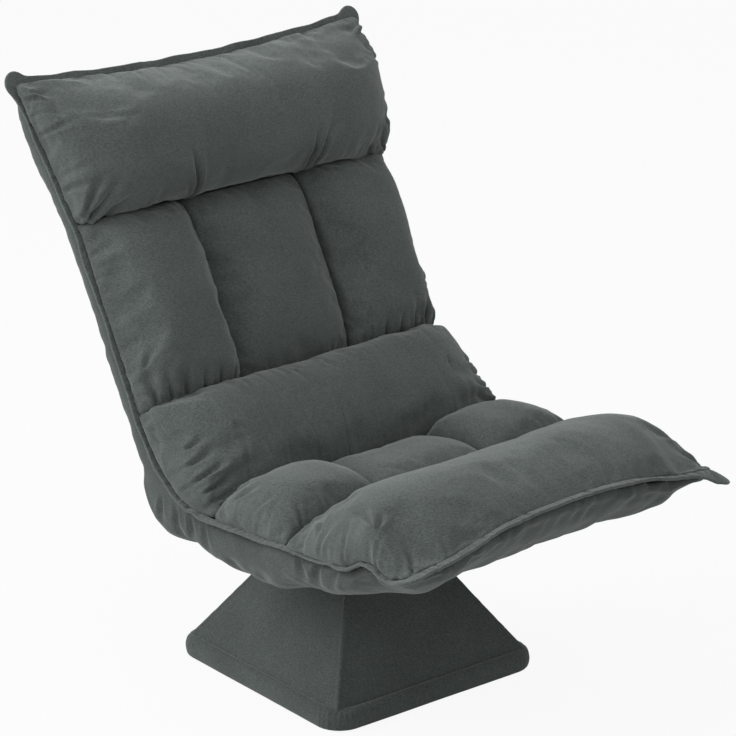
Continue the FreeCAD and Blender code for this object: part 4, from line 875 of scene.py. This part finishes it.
def underSurface(a, b):
    across, down = panSection(a, b)
    seatPoints, backPoints = underSeat(b, across, down), underBack(b, across, down)
    turn = np.clip((b - underCover["seatPart"]) / (underCover["bendPart"] - underCover["seatPart"]), 0, 1)
    # in the bend it turns about the hinge axis
    pivot = [chair["pivotY"], chair["pivotZ"]]
    low, high = seatPoints[:, 1:] - pivot, backPoints[:, 1:] - pivot
    lowAngle, highAngle = np.arctan2(low[:, 0], -low[:, 1]), np.arctan2(high[:, 0], -high[:, 1])
    angle = lowAngle + (highAngle - lowAngle) * turn
    radius = np.hypot(*low.T) * (1 - turn) + np.hypot(*high.T) * turn
    x = seatPoints[:, 0] * (1 - turn) + backPoints[:, 0] * turn
    bent = np.stack([x, pivot[0] + radius * np.sin(angle), pivot[1] - radius * np.cos(angle)], axis=-1)
    straight = seatPoints * (1 - turn[:, None]) + backPoints * turn[:, None]
    bent = np.where((down < 0.05)[:, None], straight, bent)
    bent = np.where((turn >= 1)[:, None], backPoints, bent)
    return droop(np.where((turn <= 0)[:, None], seatPoints, bent))


def wallShares(points):    # height and place along the seat, for folds in the side walls
    x, s, t = seatShares(points)
    return t, s, x


def onWall(piece):
    return smoothStep(np.abs(coordinates(piece.data)[:, 0]), 0.2, 0.245)


piece = surfacePiece("under_cover", 200, 210, underSurface)
remeshed(piece, underCover["voxel"], 5)
points = coordinates(piece.data)
x, s, t = seatShares(points)
u = backShares(points)[1]
facingOut = normals(piece.data) @ np.array([0, 0.5, -0.86])
widest = np.where(u > 0.1, backHalf(u), seatHalf(s))
wide = np.abs(x)
atEdge = (wide > underCover["sewnX"]) & (wide > underCover["sewnShare"] * widest)
inflated(piece, (facingOut < -0.3) | atEdge, underCover)
refined(piece)
creased(piece, wallShares, underCover["wallFolds"], onWall)
points = coordinates(piece.data)
x, s, t = seatShares(points)
u, w = backShares(points)[1:]
gather = tucks(u, np.abs(chair["backPlane"] - w), underCover["tucks"], underCover["seed"])
gather = gather * smoothStep(u, 0.05, 0.12) * underCover["tuckShare"]
toFront = np.abs(chair["frontEnd"] - s)
gather += tucks(x, toFront, underCover["tucks"], underCover["seed"] + 1) * underCover["tuckShare"]
pushed(piece, gather)
crinkled(piece, underCover["seed"], underCover["coarse"], underCover["fine"])
dressed(piece, underCloth, "under_cloth", None, "seat_shell", "hinge_gusset", "back_shell")
acrossHinge(piece)
print("under cover made")

# Welt: the flat sewn edge all round, with ears at the corners and small cockles from its stitching
welt = {
    "width": 0.0076, "tuck": 0.004, "thickness": 0.004,
    "ears": [    # corner in x, y, z, how far it sticks out, how far it droops, and how wide it is
        (-0.291, 0.334, 0.785, 0.012, -0.003, 0.013), (0.291, 0.334, 0.785, 0.012, -0.003, 0.013),
        (-0.268, -0.388, 0.305, 0.006, 0.002, 0.02), (0.268, -0.388, 0.3, 0.018, 0.022, 0.026),
    ],
    "kinks": [    # x, y and z of a pinch, how far it moves, and how wide it is
        (-0.262, 0.016, 0.277, 0.005, 0.01), (-0.26, 0.06, 0.292, -0.0026, 0.012),
        (-0.266, -0.25, 0.29, 0.003, 0.012), (0.262, 0.01, 0.277, 0.004, 0.01),
    ],
    "ridges": {"spacing": 0.019, "depth": 0.0022, "reach": 0.03, "width": 0.0026}, "seed": 24,
    "leanY": 0.6, "leanZ": 0.8, "leanFrom": 0.2, "leanTo": 0.42,    # where it turns from seat to back
}


def weltPath():    # the right half of the seam line from the middle of the front to the middle of the top
    corner = {"x": 0.258, "s": 0.458, "radius": 0.012}
    frontX = np.linspace(0, corner["x"], 40)
    s = np.full(40, chair["frontEnd"])
    rows = [seatPlace(frontX, s, seatSeam(s))]
    turn = np.linspace(0, pi / 2, 10)[1:-1]
    s = corner["s"] + corner["radius"] * np.cos(turn)
    rows.append(seatPlace(corner["x"] + corner["radius"] * np.sin(turn), s, seatSeam(s)))
    s = np.linspace(corner["s"], 0.1, 50)
    rows.append(seatPlace(seatHalf(s), s, seatSeam(s)))
    bend = bendLine[5:-5:8]
    rows.append(np.stack([np.linspace(0.262, 0.2585, len(bend)), bend[:, 0], bend[:, 1]], axis=-1))
    u = np.linspace(0.094, 0.541, 60)
    rows.append(backPlace(backHalf(u), u, np.full(60, chair["backPlane"])))
    topX = np.linspace(0.287, 0, 44)
    rows.append(backPlace(topX, topEdge(topX), np.full(44, chair["backPlane"])))
    return np.vstack(rows)


rightHalf = weltPath()
seamLoop = np.vstack([rightHalf, (rightHalf * [-1, 1, 1])[::-1][1:-1]])
seamLoop = droop(sampled(seamLoop, 1500, closed=True))
tangent = np.roll(seamLoop, -3, axis=0) - np.roll(seamLoop, 3, axis=0)
tangent /= np.linalg.norm(tangent, axis=1, keepdims=True)
seatUp = np.array([0, sin(chair["seatTilt"]), cos(chair["seatTilt"])])
backUp = np.array([0, -cos(chair["backLean"]), sin(chair["backLean"])])
lean = seamLoop[:, 1] * welt["leanY"] + seamLoop[:, 2] * welt["leanZ"]
lean = smoothStep(lean, welt["leanFrom"], welt["leanTo"])[:, None]
upward = seatUp * (1 - lean) + backUp * lean
upward -= tangent * np.sum(upward * tangent, axis=1, keepdims=True)
upward /= np.linalg.norm(upward, axis=1, keepdims=True)
outward = np.cross(tangent, upward)
lengthAlong = lengths(seamLoop)


def nearPlace(place, spread):    # 1 at a place on the seam line, falling off round it
    return np.exp(-(np.linalg.norm(seamLoop - place, axis=1) / spread) ** 2)


ear, fall = np.zeros(len(seamLoop)), np.zeros(len(seamLoop))
for *corner, stick, drop, spread in welt["ears"]:
    ear += stick * nearPlace(corner, spread)
    fall -= drop * nearPlace(corner, spread)
for *kink, rise, spread in welt["kinks"]:
    fall += rise * nearPlace(kink, spread)


def weltSurface(a, b):
    place, out, up = [along(table, a) for table in (seamLoop, outward, upward)]
    run, stick, drop = along(np.stack([lengthAlong, ear, fall], axis=-1), a).T
    reach = -welt["tuck"] + (welt["width"] + welt["tuck"] + stick) * b
    reach += b * 0.001 * ripple(run, 0.09, 22)
    ridge = tucks(run, 0.008 * b, welt["ridges"], welt["seed"]) * np.sin(pi * np.clip(b * 0.9 + 0.1, 0, 1))
    wave = b ** 1.3 * (0.0004 * ripple(run, 0.015, 24) + 0.0016 * ripple(run, 0.12, 25))
    rise = ridge + wave + drop * b ** 1.5
    return place + out * reach[:, None] + up * rise[:, None]


piece = surfacePiece("edge_welt", 1200, 6, weltSurface, fill=False)
thick = piece.modifiers.new("thick", "SOLIDIFY")
thick.thickness = welt["thickness"]
thick.offset = 0
settled(piece)
refined(piece)
dressed(piece, weltClothPaintedLighter, "welt_cloth", None, "seat_flange", "back_flange")
acrossHinge(piece)
print("welt made")

# Base: a padded band round the board, and a cloth cover over the tapering post
base = {
    "half": 0.175, "corner": 0.036, "top": 0.0272, "foot": 0.1602, "head": 0.0562, "headZ": 0.185,
    "profile": [(0.006, 0.0016), (0.0016, 0.003), (0.0004, 0.0075), (0.0, 0.014), (0.0008, 0.02),
                (0.0034, 0.0252), (0.0078, 0.0282), (0.0118, 0.0288), (0.0152, 0.0276), (0.02, 0.0276),
                (0.03, 0.0276)],
    "cockle": 0.0006, "crown": 0.0016, "seamWidth": 0.0022, "seamHeight": 0.0012, "pull": 0.0002,
    "lap": 0.0015, "edgeRadius": 0.012,
}
turnBase = np.array(Matrix.Rotation(chair["baseTurn"], 3, "Z"))


def roundSquare(share, half, radius):    # a point on a square with round corners
    side, corner = 2 * (half - radius), radius * pi / 2
    run = np.mod(share, 1) * 4 * (side + corner)
    quarter = np.floor(run / (side + corner))
    run = run - quarter * (side + corner)
    straight = run < side
    bend = np.clip((run - side) / radius, 0, pi / 2)
    px = np.where(straight, -side / 2 + run, side / 2 + radius * np.sin(bend))
    py = np.where(straight, -half, -half + radius * (1 - np.cos(bend)))
    angle = quarter * pi / 2
    return px * np.cos(angle) - py * np.sin(angle), px * np.sin(angle) + py * np.cos(angle)


def plinthSurface(a, b):
    profile = along(sampled(base["profile"], 100), b)
    x, y = roundSquare(a, base["half"], base["corner"])
    bendNear = smoothStep(np.minimum(np.abs(x), np.abs(y)), 0.128, 0.145)
    cockle = base["cockle"] * bendNear * ripple(a, 0.0058, 31) * np.sin(pi * np.clip(b, 0, 1))
    scale = 1 - (profile[:, 0] - cockle) / base["half"]
    return np.stack([x * scale, y * scale, profile[:, 1]], axis=-1) @ turnBase.T


def coverSurface(a, b):
    z = base["top"] - base["lap"] + (base["headZ"] - base["top"] + base["lap"]) * b
    half = base["foot"] + (base["head"] - base["foot"]) * b
    x, y = roundSquare(a, 1.0, base["edgeRadius"])
    corner = np.minimum(np.abs(x), np.abs(y))
    gap = (1 - corner) * half
    crown = base["crown"] * (1 - corner ** 4) * np.sin(pi * np.clip(b, 0, 1)) ** 0.5
    q = gap / base["seamWidth"]
    seam = base["seamHeight"] * (np.exp(-(q - 1.1) ** 2) - 0.9 * np.exp(-(q * 2.6) ** 2))
    pull = base["pull"] * ripple(z, 0.019, 33) * np.exp(-gap / 0.012)
    size = half + crown + seam + pull
    return np.stack([x * size, y * size, z], axis=-1) @ turnBase.T


piece = surfacePiece("plinth_cushion", 720, 40, plinthSurface)
piece.data.shade_smooth()
crinkled(piece, 91, 0.0003, 0.0001)
dressed(piece, baseCloth, "base_cloth", "base", "plinth_band")
piece = surfacePiece("post_cover", 520, 90, coverSurface)
piece.data.shade_smooth()
crinkled(piece, 95, 0.001, 0.0002)
dressed(piece, baseCloth, "base_cloth", "base", "base_cover")
print("base made")

# Stage, light and camera
studio = {
    "floorColour": (0.66, 0.66, 0.66, 1), "floorHalf": 8, "floorGlow": 0.92, "ambient": 0.54,
    "lamps": [    # name, place, size and power
        ("key", (-2.5, 2.1, 2.7), 2.2, 95), ("side", (-3.0, -0.8, 1.8), 2.4, 24),
        ("top", (0.0, -0.6, 3.6), 2.6, 12),
    ],
    "aim": (0, 0, 0.35),
}


def seenWhite(tree, lit, output):    # plain white wherever the camera, a reflection or a refraction sees it
    nodes, links = tree.nodes, tree.links
    plain = "ShaderNodeEmission" if output.name.startswith("Material") else "ShaderNodeBackground"
    white = nodes.new(plain)
    setInputs(white, {"Color": (1, 1, 1, 1), "Strength": 1.0})
    path = nodes.new("ShaderNodeLightPath")
    seen = path.outputs["Is Camera Ray"]
    for kind in ("Is Glossy Ray", "Is Transmission Ray"):
        seen = mathNode(tree, "MAXIMUM", seen, path.outputs[kind])
    mixed = nodes.new("ShaderNodeMixShader")
    links.new(lit, mixed.inputs[1])
    links.new(white.outputs[0], mixed.inputs[2])
    links.new(mixed.outputs[0], output.inputs["Surface"])
    return seen, mixed.inputs["Fac"]


floorMaterial = bpy.data.materials.new("pale floor")
floorMaterial.use_nodes = True
tree = floorMaterial.node_tree
shader = tree.nodes["Principled BSDF"]
setInputs(shader, {"Base Color": studio["floorColour"], "Roughness": 0.9})
seen, factor = seenWhite(tree, shader.outputs[0], tree.nodes["Material Output"])
partly = mathNode(tree, "MULTIPLY", seen, studio["floorGlow"])    # the rest is the floor with its shadow
tree.links.new(partly, factor)
bm = bmesh.new()
bmesh.ops.create_grid(bm, x_segments=1, y_segments=1, size=studio["floorHalf"])
floorMesh = bpy.data.meshes.new("floor")
bm.to_mesh(floorMesh)
bm.free()
floor = newPiece("floor", floorMesh)
floor.data.materials.append(floorMaterial)

world = bpy.data.worlds.new("studio")
scene.world = world
world.use_nodes = True
tree = world.node_tree
shader = tree.nodes["Background"]
setInputs(shader, {"Color": (1, 1, 1, 1), "Strength": studio["ambient"]})
seen, factor = seenWhite(tree, shader.outputs[0], tree.nodes["World Output"])
tree.links.new(seen, factor)

for name, place, size, power in studio["lamps"]:
    lamp = bpy.data.lights.new(name, "AREA")
    lamp.shape = "SQUARE"
    lamp.size = size
    lamp.energy = power
    holder = bpy.data.objects.new(name, lamp)
    scene.collection.objects.link(holder)
    holder.location = place
    holder.rotation_euler = (Vector(studio["aim"]) - Vector(place)).to_track_quat("-Z", "Y").to_euler()

view = {
    "place": (-2.60903, -2.86375, 1.74806),
    "azimuth": radians(-42.56),
    "pitch": radians(18.985),
    "lens": 153.45,
}
lens = bpy.data.cameras.new("camera")
lens.sensor_width = 36
lens.lens = view["lens"]
camera = bpy.data.objects.new("camera", lens)
scene.collection.objects.link(camera)
camera.location = view["place"]
level = cos(view["pitch"])
toward = Vector((sin(view["azimuth"]) * level, -cos(view["azimuth"]) * level, sin(view["pitch"])))
camera.rotation_euler = toward.to_track_quat("Z", "Y").to_euler()
scene.camera = camera
scene.view_settings.view_transform = "Standard"

print("done")
